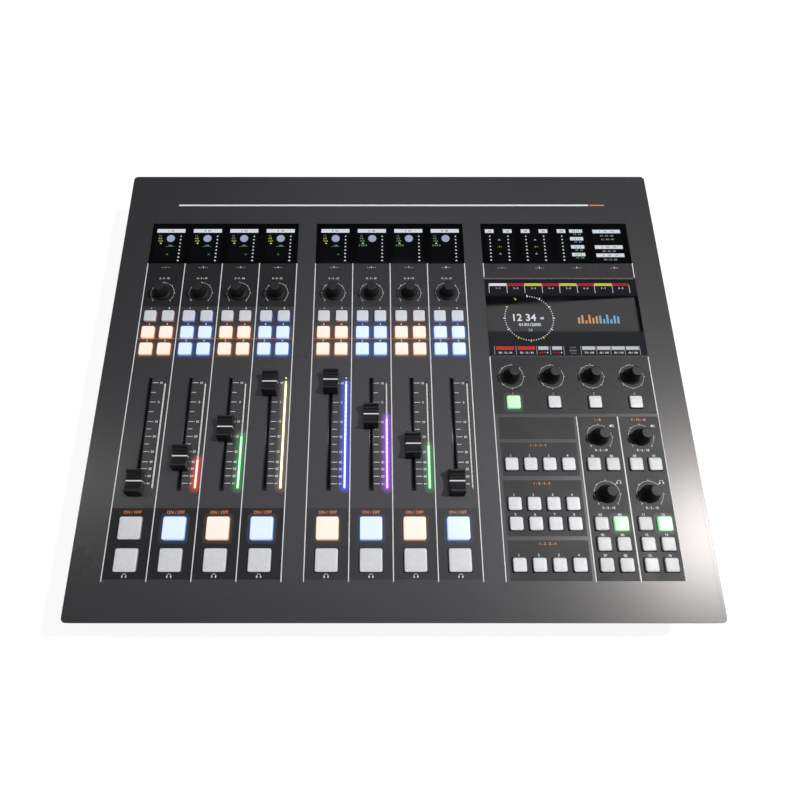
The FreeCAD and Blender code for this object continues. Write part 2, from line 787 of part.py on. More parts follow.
def fader_housing():
    """Long trough, open at the top, in which the carriage slides."""
    wide = f"{HOUSING_INSIDE} + 2 * housing_wall"
    long = f"{HOUSING_RUN} + 2 * housing_wall"
    body = box_body("fader_housing", wide, long, "board_gap")
    sketch = new_sketch(body, "housing_trough", lift="board_gap")
    rectangle(sketch, "0", "0", HOUSING_INSIDE, HOUSING_RUN)
    pocket(body, sketch, "housing_cut", "carriage_tall + 2 * carriage_gap")
    return body


def faders():
    cap, carriage, housing = fader_cap(), fader_carriage(), fader_housing()
    bar = box_body("light_bar", "bar_wide", "bar_long", "board_gap + panel_thick")
    row = from_front("fader_row")
    housings = []
    bars = []
    for channel in range(CHANNELS):
        x = channel_x(channel)
        y = f"{row} - fader_travel / 2 + fader_rest_{channel + 1}"
        carriage_base = f"{PANEL_UNDER} - carriage_gap - carriage_tall"
        pieces = [(cap, x, y, f"{PANEL_TOP} + cap_gap"), (carriage, x, y, carriage_base)]
        node_of(f"fader_{channel + 1}", pieces)
        housings.append((housing, x, row, BOARD_TOP))
        bars.append((bar, light_bar_x(channel), from_front("light_row"), BOARD_TOP))
    node_of("fader_housings", housings)
    node_of("light_bars", bars)


# ---------------------------------------------------------------- knobs


def knob():
    """A turned knob with a flared skirt, on the shaft that it is pressed on."""
    body = new_body("knob")
    sketch = new_sketch(body, "knob_profile", "XZ_Plane")
    shaft_end = "0 - knob_gap - panel_thick - shaft_in"
    profile = [
        ("0", shaft_end),
        ("shaft_wide / 2", shaft_end),
        ("shaft_wide / 2", "0"),
        ("knob_wide / 2", "0"),
        ("knob_wide / 2", "skirt_edge"),
        ("knob_waist / 2", "skirt_rise"),
        ("knob_top / 2", "knob_tall"),
        ("0", "knob_tall"),
    ]
    outline(sketch, profile)
    revolve(body, sketch, "knob_turned")
    return body


def rotary_encoder():
    """Encoder body with the bearing hole that its shaft turns in."""
    body = box_body("rotary_encoder", "encoder_side", "encoder_side", "board_gap")
    sketch = new_sketch(body, "bearing", lift="board_gap")
    circle(sketch, "0", "0", "shaft_wide + 2 * shaft_gap")
    pocket(body, sketch, "bearing_cut", "shaft_in + shaft_gap")
    return body


def knob_places():
    """Where every knob stands: node name to X and Y."""
    places = {}
    for channel in range(CHANNELS):
        places[f"gain_knob_{channel + 1}"] = (channel_x(channel), from_front("gain_row"))
    for strip in range(STRIPS):
        spot = strip_x(MASTER, strip), from_front("encoder_row")
        places[f"encoder_knob_{strip + 1}"] = spot
    for room, strip in (("studio", 2), ("control_room", 3)):
        for use, row in (("speaker", "high_volume_row"), ("phones", "low_volume_row")):
            places[f"{room}_{use}_knob"] = (strip_x(MASTER, strip), from_front(row))
    return places


def knobs():
    shape, encoder = knob(), rotary_encoder()
    encoders = []
    for name, (x, y) in knob_places().items():
        node_of(name, [(shape, x, y, f"{PANEL_TOP} + knob_gap")])
        encoders.append((encoder, x, y, BOARD_TOP))
    node_of("rotary_encoders", encoders)


# ---------------------------------------------------------------- boards and connectors

BACK_SPACER_ROW = "window_row + window_deep / 2 + spacer_wide"
SPACER_ROWS = ("front_spacer_row", "low_spacer_row", "high_spacer_row", BACK_SPACER_ROW)


def spacer(name, tall):
    """A hexagonal spacer: the sketch's outline is worked out from its flats."""
    body = new_body(name)
    sketch = new_sketch(body, f"{name}_outline")
    half, corner = "spacer_wide / 2", "spacer_wide / sqrt(3)"
    points = [
        (half, f"0 - {corner} / 2"),
        (half, f"{corner} / 2"),
        ("0", corner),
        (f"0 - {half}", f"{corner} / 2"),
        (f"0 - {half}", f"0 - {corner} / 2"),
        ("0", f"0 - {corner}"),
    ]
    outline(sketch, points)
    pad(body, sketch, f"{name}_length", tall)
    return body


def boards():
    """Boards under the panel, one to a block, and the processor board on the case's floor."""
    front, back = "front_spacer_row - board_over", f"{BACK_SPACER_ROW} + board_over / 2"
    long = f"{back} - ( {front} )"
    middle = from_front(f"( {back} + {front} ) / 2")
    board = box_body("strip_board", f"{BLOCK_WIDE} - 2 * board_edge", long, "board_thick")
    under = f"{BOARD_TOP} - board_thick"
    copies = [(board, block_x(block), middle, under) for block in range(BLOCKS)]
    node_of("panel_boards", copies)

    processor = box_body("processor_board", "processor_wide", "processor_deep", "board_thick")
    node(processor, "processor_board", PROCESSOR_X, PROCESSOR_Y, f"{CASE_FLOOR} + floor_gap")

    hanging, standing = spacer("panel_spacer", "board_gap"), spacer("floor_spacer", "floor_gap")
    copies = []
    for block in range(BLOCKS):
        for boundary in (-1, 1):
            x = f"{block_x(block)} + ( {boundary} ) * {STRIP_WIDE}"
            copies += [(hanging, x, from_front(row), BOARD_TOP) for row in SPACER_ROWS]
    for side in (-1, 1):
        for end in (-1, 1):
            x = f"{PROCESSOR_X} + ( {side} ) * ( processor_wide / 2 - spacer_wide )"
            y = f"{PROCESSOR_Y} + ( {end} ) * ( processor_deep / 2 - spacer_wide )"
            copies.append((standing, x, y, CASE_FLOOR))
    node_of("board_spacers", copies)


def network_sockets():
    """Two network sockets in one block on the processor board, open to the rear."""
    body = box_body("network_sockets", "sockets_wide", "sockets_deep", "sockets_tall")
    sketch = new_sketch(body, "ports", "XZ_Plane", lift="0 - sockets_deep / 2")
    for side in (-1, 1):
        x = f"( {side} ) * port_pitch / 2"
        rectangle(sketch, x, "port_lift + port_tall / 2", "port_wide", "port_tall")
    pocket(body, sketch, "port_cuts", "port_deep", up=True)
    back = f"( {CASE_DEEP} ) / 2 - sockets_deep / 2"
    return node(body, "network_sockets", SOCKETS_X, back, PROCESSOR_TOP)


def power_inlet():
    """Round low-voltage inlet: flange outside the rear wall, barrel inside, contact pin."""
    body = new_body("power_inlet")
    sketch = new_sketch(body, "inlet_profile", "YZ_Plane")
    pin_end = "inlet_lip / 2"
    profile = [
        ("0 - inlet_deep", "0"),
        (pin_end, "0"),
        (pin_end, "inlet_pin / 2"),
        ("inlet_lip - inlet_bore_deep", "inlet_pin / 2"),
        ("inlet_lip - inlet_bore_deep", "inlet_bore / 2"),
        ("inlet_lip", "inlet_bore / 2"),
        ("inlet_lip", "inlet_flange / 2"),
        ("0", "inlet_flange / 2"),
        ("0", "inlet_wide / 2"),
        ("0 - inlet_deep", "inlet_wide / 2"),
    ]
    outline(sketch, profile)
    revolve(body, sketch, "inlet_turned", "Y_Axis")
    return node(body, "power_inlet", INLET_X, f"( {CASE_DEEP} ) / 2", INLET_AXIS)


# ---------------------------------------------------------------- build, check, write


def check_document():
    """Stop if any object failed, or if any sub-part is not a good solid."""
    doc.recompute()
    for item in doc.Objects:
        if "Invalid" in item.State or "Error" in item.State:
            raise RuntimeError(f"{item.Label} failed: {item.State}")
    for item in nodes:
        shape = item.Shape
        if shape.isNull() or not shape.isValid() or not shape.Solids:
            raise RuntimeError(f"{item.Label} is not a valid solid")
    labels = [item.Label for item in nodes]
    if len(set(labels)) != len(labels):
        raise RuntimeError("two sub-parts share a label")


def write_parts():
    os.makedirs("parts", exist_ok=True)
    for item in nodes:
        item.Shape.exportStep(f"parts/{item.Label}.step")


fill_sheet()
top_panel()
base_tray()
mounting_angles()
rubber_feet()
windows_and_displays()
keys_and_switches()
faders()
knobs()
boards()
network_sockets()
power_inlet()
check_document()
write_parts()
print(len(nodes), "sub-parts")
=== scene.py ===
from functools import cache
from math import cos, pi, radians, sin

import bmesh
import bpy
from mathutils import Matrix, Vector


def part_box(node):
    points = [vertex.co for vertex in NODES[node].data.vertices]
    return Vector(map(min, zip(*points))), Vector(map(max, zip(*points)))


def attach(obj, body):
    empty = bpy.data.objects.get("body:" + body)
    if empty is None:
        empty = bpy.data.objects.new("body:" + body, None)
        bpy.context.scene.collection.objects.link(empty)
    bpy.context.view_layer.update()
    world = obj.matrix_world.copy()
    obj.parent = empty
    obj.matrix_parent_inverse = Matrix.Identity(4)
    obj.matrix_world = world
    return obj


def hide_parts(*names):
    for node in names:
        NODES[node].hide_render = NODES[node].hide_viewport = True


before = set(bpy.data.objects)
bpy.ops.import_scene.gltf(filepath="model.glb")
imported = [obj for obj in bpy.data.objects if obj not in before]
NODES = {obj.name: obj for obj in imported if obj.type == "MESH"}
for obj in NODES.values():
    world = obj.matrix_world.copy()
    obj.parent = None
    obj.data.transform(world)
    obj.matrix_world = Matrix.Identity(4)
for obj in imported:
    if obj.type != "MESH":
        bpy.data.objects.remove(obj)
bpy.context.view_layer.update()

MM = 0.001

# ---- places from the model's parts


def middle(node):
    """Middle of a CAD node's box."""
    return sum(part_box(node), Vector()) / 2


def islands(node):
    """Boxes of a CAD node's separate things, what meets in plan counted as one."""
    mesh = NODES[node].data
    boxes = []
    for polygon in mesh.polygons:
        points = [mesh.vertices[index].co for index in polygon.vertices]
        low, high = (Vector(map(pick, zip(*points))) for pick in (min, max))
        met = True
        while met:
            met = [box for box in boxes if all(low[i] <= box[1][i] and box[0][i] <= high[i] for i in (0, 1))]
            for box in met:
                boxes.remove(box)
                low, high = Vector(map(min, low, box[0])), Vector(map(max, high, box[1]))
        boxes.append((low, high))
    return sorted(boxes, key=lambda box: (-round(box[0].y + box[1].y, 3), box[0].x))


PANEL_LOW, PANEL_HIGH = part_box("top_panel")
TOP = PANEL_HIGH.z
LEFT, FRONT = PANEL_LOW.x, PANEL_LOW.y
CHANNELS = range(1, 9)
STRIPS = range(1, 5)
COLUMN = {number: middle(f"fader_{number}").x for number in CHANNELS}
MASTER = {number: middle(f"encoder_knob_{number}").x for number in STRIPS}
PITCH = COLUMN[2] - COLUMN[1]
BLOCK_LEFT = {1: COLUMN[1] - PITCH / 2, 2: COLUMN[5] - PITCH / 2, 3: MASTER[1] - PITCH / 2}
BLOCK_WIDE = 4 * PITCH


def px(across):
    """X of a place given in millimetres from the panel's left edge."""
    return LEFT + across * MM


def py(depth):
    """Y of a place given in millimetres from the panel's front edge."""
    return FRONT + depth * MM


def add_object(name, data):
    """A new object of the scene."""
    thing = bpy.data.objects.new(name, data)
    bpy.context.scene.collection.objects.link(thing)
    return thing


# ---- camera

# Fitted to the photo's perspective. The tilt is in degrees.
FOCAL_LENGTH, SENSOR_WIDE = 31.4856, 36.0
CAMERA_SHIFT = (0.03321, -0.08394)
CAMERA_PLACE = (-0.01785, -0.25075, 0.7231)
CAMERA_TILT = 23.9

camera = add_object("camera", bpy.data.cameras.new("camera"))
camera.data.lens, camera.data.sensor_width = FOCAL_LENGTH, SENSOR_WIDE
camera.data.shift_x, camera.data.shift_y = CAMERA_SHIFT
camera.location = CAMERA_PLACE
camera.rotation_euler = (radians(CAMERA_TILT), 0, 0)
bpy.context.scene.camera = camera

# ---- materials


class Tree:
    """A node tree under construction."""

    def __init__(self, tree):
        self.tree = tree

    def feed(self, node, inputs):
        """Set a node's inputs to numbers, or join them to other nodes' outputs."""
        for name, value in inputs.items():
            if isinstance(value, bpy.types.NodeSocket):
                self.tree.links.new(value, node.inputs[name])
            else:
                node.inputs[name].default_value = value

    def add(self, kind, inputs, **settings):
        """The outputs of a new node."""
        node = self.tree.nodes.new(f"ShaderNode{kind}")
        for name, value in settings.items():
            setattr(node, name, value)
        self.feed(node, inputs)
        return node.outputs

    def math(self, operation, first, second):
        return self.add("Math", {0: first, 1: second}, operation=operation)["Value"]


class Shader(Tree):
    """A node material under construction, with its Principled shader."""

    def __init__(self, name, **inputs):
        self.material = bpy.data.materials.new(name)
        self.material.use_nodes = True
        super().__init__(self.material.node_tree)
        self.place = self.add("TexCoord", {})["Object"]
        self.set(**inputs)

    def set(self, **inputs):
        """Feed the shader's own inputs, by their names with underscores."""
        shader = self.tree.nodes["Principled BSDF"]
        self.feed(shader, {name.replace("_", " "): value for name, value in inputs.items()})

    def noise(self, scale, detail=3.0, place=None):
        return self.add("TexNoise", {"Scale": scale, "Detail": detail, "Vector": place or self.place})["Fac"]

    def spread(self, value, low, high, start=0.3, end=0.7):
        """Map a value that runs from start to end onto low to high."""
        limits = {"From Min": start, "From Max": end, "To Min": low, "To Max": high}
        return self.add("MapRange", {**limits, "Value": value})["Result"]

    def tint(self, value, first, second, start=0.3, end=0.7):
        """A colour between two by a value."""
        color = self.add("ValToRGB", {"Fac": value})["Color"]
        stops = color.node.color_ramp.elements
        stops[0].position, stops[0].color = start, (*first, 1)
        stops[1].position, stops[1].color = end, (*second, 1)
        return color

    def part(self, vector, axis):
        return self.add("SeparateXYZ", {"Vector": vector})[axis]

    def bump(self, height, distance, strength=0.5):
        """Relief of a depth in millimetres."""
        relief = {"Strength": strength, "Distance": distance * MM, "Height": height}
        self.set(Normal=self.add("Bump", relief)["Normal"])

    def dress(self, tones, mottle, roughness, cloud, grain, depth, strength=0.5):
        """Mottled colour, uneven gloss and a fine grain. mottle and cloud are (scale, detail)."""
        self.set(Base_Color=self.tint(self.noise(*mottle), *tones))
        self.set(Roughness=self.spread(self.noise(*cloud), *roughness))
        self.bump(self.noise(grain, 2), depth, strength)
        return self.material


def faded(tone, share=0.88):
    return [share * part for part in tone]


def moulded(name, first, second, roughness, grain=1400, depth=0.02, **inputs):
    """Plastic, rubber or paint."""
    return Shader(name, **inputs).dress((first, second), (260, 4), roughness, (45, 5), grain, depth)


def glowing(name, base, top, side):
    """Lit plastic: one light where it faces up, another on the flanks. On plain keys only the flanks glow, as
    painted light from lit neighbours.

    top and side are (colour, strength).
    """
    shader = Shader(name, Roughness=0.35)
    up = shader.part(shader.add("NewGeometry", {})["Normal"], "Z")
    shader.set(
        Base_Color=shader.tint(shader.noise(300), base, faded(base, 0.94)),
        Emission_Color=shader.tint(up, side[0], top[0], 0.3, 0.97),
        Emission_Strength=shader.spread(up, side[1], top[1], 0.3, 0.97),
    )
    shader.bump(shader.noise(1500, 2), 0.01, 0.3)
    return shader.material


# A ground is what covers the panel at a place: its tones and its range of roughness.
PAINT = ((0.0255, 0.025, 0.0268), (0.0335, 0.033, 0.035)), (0.272, 0.288)
FILM = ((0.0085, 0.0082, 0.0088), (0.0125, 0.012, 0.013)), (0.46, 0.52)
COAT = {"Specular_Tint": (1.0, 0.955, 0.92, 1), "Coat_Weight": 0.38, "Coat_Roughness": 0.6, "Coat_IOR": 1.5}


def painted(name, ground):
    """Satin powder coat: a fine even grain, a soft sheen and faint handling marks."""
    shader = Shader(name, Specular_IOR_Level=0.33, **COAT)
    tones, roughness = ground
    shader.dress(tones, (900, 2), roughness, (9, 7), 1500, 0.02, 0.25)
    return shader


def spill_film(name, ground, tone, strength):
    """The ground beside a lit part, carrying painted light: an emission stands in for the light that spills onto
    it, and fades with the map's first axis.
    """
    shader = painted(name, ground)
    share = shader.part(shader.add("TexCoord", {})["UV"], "X")
    level = shader.math("MULTIPLY", shader.math("POWER", share, 1.4), strength)
    shader.set(Emission_Strength=level, Emission_Color=(*tone, 1))
    return shader.material


def glassy(name, dark, light, **inputs):
    """Black glass with the faint smears of a touched screen."""
    shader = Shader(name, **inputs)
    shader.set(
        Base_Color=shader.tint(shader.noise(20), dark, light),
        Roughness=shader.spread(shader.noise(35, 6), 0.015, 0.05, 0.35, 0.75),
    )
    return shader


def display(name, tone, strength):
    """Lit picture elements behind the glass, in faint rows."""
    shader = glassy(f"display_{name}", [0.001] * 3, [0.002] * 3, Emission_Strength=strength)
    inputs = {"Scale": 700, "Vector": shader.place}
    rows = shader.add("TexWave", inputs, bands_direction="Y", wave_profile="SIN")["Fac"]
    shader.set(Emission_Color=shader.tint(rows, faded(tone), tone, 0.0, 0.6))
    return shader.material


def circuit_board():
    shader = Shader("circuit_board")
    inputs = {"Scale": 240, "Vector": shader.place}
    tracks = shader.add("TexVoronoi", inputs, distance="MANHATTAN", feature="DISTANCE_TO_EDGE")["Distance"]
    shader.set(
        Base_Color=shader.tint(tracks, (0.03, 0.16, 0.07), (0.008, 0.07, 0.03), 0.04, 0.09),
        Roughness=shader.spread(shader.noise(90), 0.3, 0.42),
    )
    shader.bump(tracks, 0.03, 0.4)
    return shader.material


def zinc_plate():
    shader = Shader("zinc_plate", Metallic=1.0)
    tone = (0.62, 0.62, 0.64)
    brushed = shader.add("Mapping", {"Scale": (1, 14, 1), "Vector": shader.place})["Vector"]
    grain = shader.noise(220, 4, brushed)
    shader.set(
        Base_Color=shader.tint(grain, faded(tone, 0.85), tone),
        Roughness=shader.spread(grain, 0.25, 0.42),
    )
    shader.bump(grain, 0.01, 0.3)
    return shader.material


def ink(name, tone):
    tones = faded(tone), tone
    return Shader(f"print_{name}").dress(tones, (1100, 2), (0.42, 0.55), (300, 3), 1800, 0.01, 0.3)


def key_plastic(name, first, second):
    return moulded(
        name, first, second, (0.36, 0.46), 1500, 0.01,
        Subsurface_Weight=0.15, Subsurface_Radius=(0.002, 0.002, 0.002),
    )


PANEL_PAINT = painted("panel_paint", PAINT).material
OVERLAY = moulded("overlay_film", *FILM[0], FILM[1], 1700, Specular_IOR_Level=0.3)
# A lighter copy of the overlay film for the second channel block and the master's top band: painted light, for
# the brighter light there.
PAINTED_LIGHT_OVERLAY = moulded(
    "painted_light_overlay_film", (0.023, 0.0226, 0.0235), (0.030, 0.0295, 0.031), (0.30, 0.36), 1700,
    Specular_IOR_Level=0.3,
)
SLOT_EDGE = moulded("slot_edge", *PAINT[0], (0.36, 0.44), 1500, 0.01)
CASE_PAINT = moulded("case_paint", (0.012, 0.012, 0.013), (0.022, 0.022, 0.024), (0.5, 0.62), 1300, 0.04)
RUBBER = moulded("foot_rubber", [0.012] * 3, [0.02] * 3, (0.7, 0.85), 900, 0.05)
BLACK_PLASTIC = moulded("black_plastic", [0.012] * 3, [0.02] * 3, (0.42, 0.55))
# Near-black fader housings: their own black colour, made darker still as painted shade for the inside of the
# fader slots.
HOUSING_BLACK_AND_SHADE = moulded("housing_black_and_shade", [0.003] * 3, [0.006] * 3, (0.6, 0.75))
GREY_PLASTIC = moulded("grey_plastic", [0.09] * 3, [0.13] * 3, (0.4, 0.55))
KNOB_PLASTIC = moulded(
    "knob_plastic", (0.0097, 0.0093, 0.009), (0.0145, 0.014, 0.0136), (0.46, 0.54), 1600, 0.015,
    Specular_IOR_Level=0.3,
)
FADER_PLASTIC = moulded(
    "fader_plastic", (0.010, 0.010, 0.011), (0.016, 0.016, 0.017), (0.36, 0.46), 1600, 0.015,
)
KEY_PLASTIC = key_plastic("key_plastic", (0.67, 0.68, 0.69), (0.74, 0.75, 0.76))
# A darker copy of the key plastic for the studio and control room keys: painted shade, for the lesser light that
# falls on them.
SHADED_KEY_PLASTIC = key_plastic("painted_shade_key_plastic", (0.585, 0.585, 0.58), (0.645, 0.645, 0.64))
GLASS = glassy("window_glass", [0.0015] * 3, (0.0025, 0.0025, 0.003)).material
BOARD = circuit_board()
ZINC = zinc_plate()
LINE_WHITE = moulded("line_white", (0.74, 0.74, 0.73), (0.80, 0.80, 0.79), (0.34, 0.44), 1500, 0.01)
BEAD_PLASTIC = moulded("bead_plastic", (0.68, 0.66, 0.60), (0.80, 0.78, 0.72), (0.3, 0.4), 1200, 0.01)
DOT_PLASTIC = moulded("dot_plastic", (0.02, 0.02, 0.018), (0.03, 0.03, 0.026), (0.2, 0.3), 1200, 0.01)
# Painted shade: the dark flat films beside each light bar stand for the shadow round it.
BAR_SHADE = moulded("painted_bar_shade", (0.010, 0.009, 0.008), (0.016, 0.014, 0.013), (0.4, 0.5), 1500, 0.01)

INK = {name: ink(name, tone) for name, tone in {
    "white": (0.84, 0.84, 0.84), "grey": (0.24, 0.23, 0.23), "orange": (0.78, 0.24, 0.05),
}.items()}
# Lit keys, and the plain keys behind them, whose flanks carry painted light from the lit keys: an emission on the
# flanks, and beside blue keys a faint blue tint in the base colour.
KEY_LIGHT = {name: glowing(f"key_{name}", *look) for name, look in {
    "lit_blue": ((0.42, 0.46, 0.5), ((0.70, 0.86, 1.0), 0.60), ((0.34, 0.60, 1.0), 0.8)),
    "lit_amber": ((0.5, 0.46, 0.40), ((1.0, 0.85, 0.73), 0.60), ((1.0, 0.60, 0.30), 0.7)),
    "lit_green": ((0.36, 0.5, 0.36), ((0.56, 1.0, 0.60), 0.5), ((0.28, 0.95, 0.42), 0.7)),
    "edge_blue": ((0.72, 0.735, 0.78), ((0.1, 0.25, 1.0), 0.0), ((0.1, 0.25, 1.0), 0.4)),
    "edge_amber": ((0.72, 0.73, 0.74), ((0.7, 0.16, 0.06), 0.0), ((0.7, 0.16, 0.06), 0.22)),
}.items()}
SHOWN = {name: display(name, tone, strength) for name, tone, strength in (
    ("back", (0.4, 0.45, 0.6), 0.004),
    ("white", (0.84, 0.9, 0.98), 0.8),
    ("dim", (0.75, 0.8, 0.9), 0.45),
    ("disc", (0.55, 0.63, 0.85), 0.62),
    ("green", (0.45, 0.9, 0.4), 0.4),
    ("yellow", (0.9, 0.9, 0.1), 0.6),
    ("red", (1.0, 0.05, 0.02), 0.5),
    ("dark_red", (0.9, 0.02, 0.04), 0.45),
    ("orange", (1.0, 0.42, 0.12), 0.6),
    ("sky", (0.2, 0.6, 0.95), 0.6),
    ("pale", (0.82, 0.86, 0.9), 0.6),
    ("ink", (0.25, 0.35, 0.5), 0.25),
)}

for material, nodes in (
    (PANEL_PAINT, "top_panel"),
    (CASE_PAINT, "base_tray"),
    (ZINC, "mounting_angles board_spacers"),
    (RUBBER, "rubber_feet"),
    (GLASS, "display_window_left display_window_right display_window_master touch_screen_glass"),
    (BLACK_PLASTIC, "display_modules touch_screen_module key_switches network_sockets power_inlet"),
    (HOUSING_BLACK_AND_SHADE, "fader_housings"),
    (GREY_PLASTIC, "rotary_encoders"),
    (BOARD, "panel_boards processor_board"),
):
    for node in nodes.split():
        NODES[node].data.materials.clear()
        NODES[node].data.materials.append(material)

# ---- mesh building


def circle(x, y, radius, steps):
    """Points round a circle, anticlockwise."""
    turns = [2 * pi * i / steps for i in range(steps)]
    return [(x + radius * cos(turn), y + radius * sin(turn)) for turn in turns]


def rounded(x, y, half_x, half_y, radius, z, steps=5):
    """Ring of points round a rectangle with round corners."""
    points = []
    for corner, (sx, sy) in enumerate(((1, 1), (-1, 1), (-1, -1), (1, -1))):
        cx, cy = x + sx * (half_x - radius), y + sy * (half_y - radius)
        for i in range(steps + 1):
            turn = pi / 2 * (corner + i / steps)
            points.append((cx + radius * cos(turn), cy + radius * sin(turn), z))
    return points


def bevel(steps):
    """A quarter-round edge from its side to its top: how far in and how far down, in radii."""
    turns = [pi / 2 * i / steps for i in range(steps + 1)]
    return [(1 - cos(turn), 1 - sin(turn)) for turn in turns]


@cache
def characters(words):
    """Mesh of a line of characters, centred along the line, standing on it, 1 thick."""
    curve = bpy.data.curves.new("characters", "FONT")
    curve.body, curve.align_x = words, "CENTER"
    curve.extrude, curve.offset, curve.resolution_u = 0.5, 0.016, 3
    holder = add_object("characters", curve)
    bpy.context.view_layer.update()
    mesh = bpy.data.meshes.new_from_object(holder)
    bpy.data.objects.remove(holder)
    bpy.data.curves.remove(curve)
    work = bmesh.new()
    work.from_mesh(mesh)
    bmesh.ops.remove_doubles(work, verts=work.verts, dist=1e-5)
    work.to_mesh(mesh)
    work.free()
    return mesh


DIGIT_EDGES = [vertex.co.y for vertex in characters("0").vertices]
DIGIT_TALL = max(DIGIT_EDGES) - min(DIGIT_EDGES)


def skin(rows, close):
    """Corners of the faces between rings of vertices, which may close up to the first."""
    for row, after in zip(rows, rows[1:] + (rows[:1] if close else [])):
        yield from zip(row, row[1:] + row[:1], after[1:] + after[:1], after)


class Piece:
    """A mesh that is gathered from simple closed forms, one material index each."""

    def __init__(self):
        self.mesh = bmesh.new()
        self.index = 0

    def face(self, vertices, smooth=False):
        face = self.mesh.faces.new(vertices)
        face.material_index = self.index
        face.smooth = smooth
        return face

    def rings(self, rings, smooth=True, close=False):
        """Skin between rings of points, each of the same length, with end caps unless it closes."""
        rows = [[self.mesh.verts.new(point) for point in ring] for ring in rings]
        for corners in skin(rows, close):
            self.face(corners, smooth)
        if not close:
            self.face(rows[0][::-1])
            self.face(rows[-1])

    def prism(self, outline, low, high):
        """An upright prism over an outline that runs anticlockwise."""
        self.rings([[(x, y, z) for x, y in outline] for z in (low, high)], smooth=False)

    def slab(self, left, right, front, back, low, high):
        self.prism([(left, front), (right, front), (right, back), (left, back)], low, high)

    def arc(self, x, y, inner, outer, start, end, low, high, steps):
        """Part of a flat ring, between two angles in degrees."""
        whole = abs(end - start) >= 360
        turns = [radians(start + (end - start) * i / steps) for i in range(steps + (not whole))]
        corners = ((inner, low), (outer, low), (outer, high), (inner, high))
        rings = [[(x + r * cos(turn), y + r * sin(turn), z) for r, z in corners] for turn in turns]
        self.rings(rings, smooth=False, close=whole)

    def disc(self, x, y, radius, low, high, steps):
        self.prism(circle(x, y, radius, steps), low, high)

    def lathe(self, x, y, profile, steps=64):
        """A turned form about an upright axis: profile is (radius, height), foot first."""
        self.rings([[(*point, z) for point in circle(x, y, r, steps)] for r, z in profile])

    def text(self, words, x, y, height, low, high, wide=1.0):
        """Characters whose digits are of a height and centred on a place."""
        mesh, scale = characters(words), height / DIGIT_TALL
        matrix = Matrix.Translation((x, y, (low + high) / 2))
        matrix @= Matrix.Diagonal((scale * wide, scale, high - low, 1))
        matrix @= Matrix.Translation((0, -DIGIT_TALL / 2, 0))
        known = len(self.mesh.verts)
        self.mesh.from_mesh(mesh)
        self.mesh.verts.ensure_lookup_table()
        bmesh.ops.transform(self.mesh, matrix=matrix, verts=self.mesh.verts[known:])
        self.mesh.faces.ensure_lookup_table()
        for face in self.mesh.faces[-len(mesh.polygons):]:
            face.material_index = self.index

    def data(self, name, materials):
        """The finished mesh."""
        bmesh.ops.recalc_face_normals(self.mesh, faces=self.mesh.faces)
        data = bpy.data.meshes.new(name)
        self.mesh.to_mesh(data)
        self.mesh.free()
        for material in materials:
            data.materials.append(material)
        return data

    def make(self, name, materials, body="console", slot="panel_paint", replaces=()):
        piece = add_object(name, self.data(name, materials))
        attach(piece, body)
        if replaces:
            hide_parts(*replaces)


def spill(name, material, spots, low, high):
    """Thin films round lit parts, which carry painted light spilled from them. A spot is (x, y, half_x, half_y,
    how far its light reaches).
    """
    piece = Piece()
    share_map = piece.mesh.loops.layers.uv.new("spill")
    for x, y, half_x, half_y, reach in spots:
        corner = min(half_x, 1.2 * MM)
        near = rounded(x, y, half_x, half_y, corner, 0)
        far = rounded(x, y, half_x + reach, half_y + reach, reach + corner * 0.9, 0)
        rows = [
            [(piece.mesh.verts.new((a, b, z)), share) for a, b, _ in ring]
            for ring, z, share in (
                (near, low, 1.0), (far, low, 0.0), (far, low + 0.004 * MM, 0.0), (near, high, 1.0),
            )
        ]
        for corners in skin(rows, True):
            face = piece.face([vertex for vertex, _ in corners])
            for loop, (_, share) in zip(face.loops, corners):
                loop[share_map].uv = (share, 0.5)
    piece.make(name, [material])


# ---- overlays and printing

FILM_LOW, FILM_TOP = TOP + 0.005 * MM, TOP + 0.10 * MM
INK_LAYER = TOP, TOP + 0.14 * MM
KEY_GAP = 0.5 * MM
SHAFT_HOLE = 3.7 * MM  # half of the side of a shaft's hole in a film

ENCODER_KNOBS = [f"encoder_knob_{number}" for number in STRIPS]
VOLUME_KNOBS = [f"{room}_{use}_knob" for room in ("studio", "control_room") for use in ("speaker", "phones")]
KNOBS = [f"gain_knob_{number}" for number in CHANNELS] + ENCODER_KNOBS + VOLUME_KNOBS
KEY_GROUPS = [f"channel_{number}" for number in CHANNELS]
KEY_GROUPS += "start listen encoder snapshot smart talk_back studio control_room".split()
KEYS = {f"{group}_keys": islands(f"{group}_keys") for group in KEY_GROUPS}
HOLES = [
    (low.x - KEY_GAP, high.x + KEY_GAP, low.y - KEY_GAP, high.y + KEY_GAP)
    for boxes in KEYS.values() for low, high in boxes
] + [
    (x - SHAFT_HOLE, x + SHAFT_HOLE, y - SHAFT_HOLE, y + SHAFT_HOLE) for x, y, _ in map(middle, KNOBS)
]


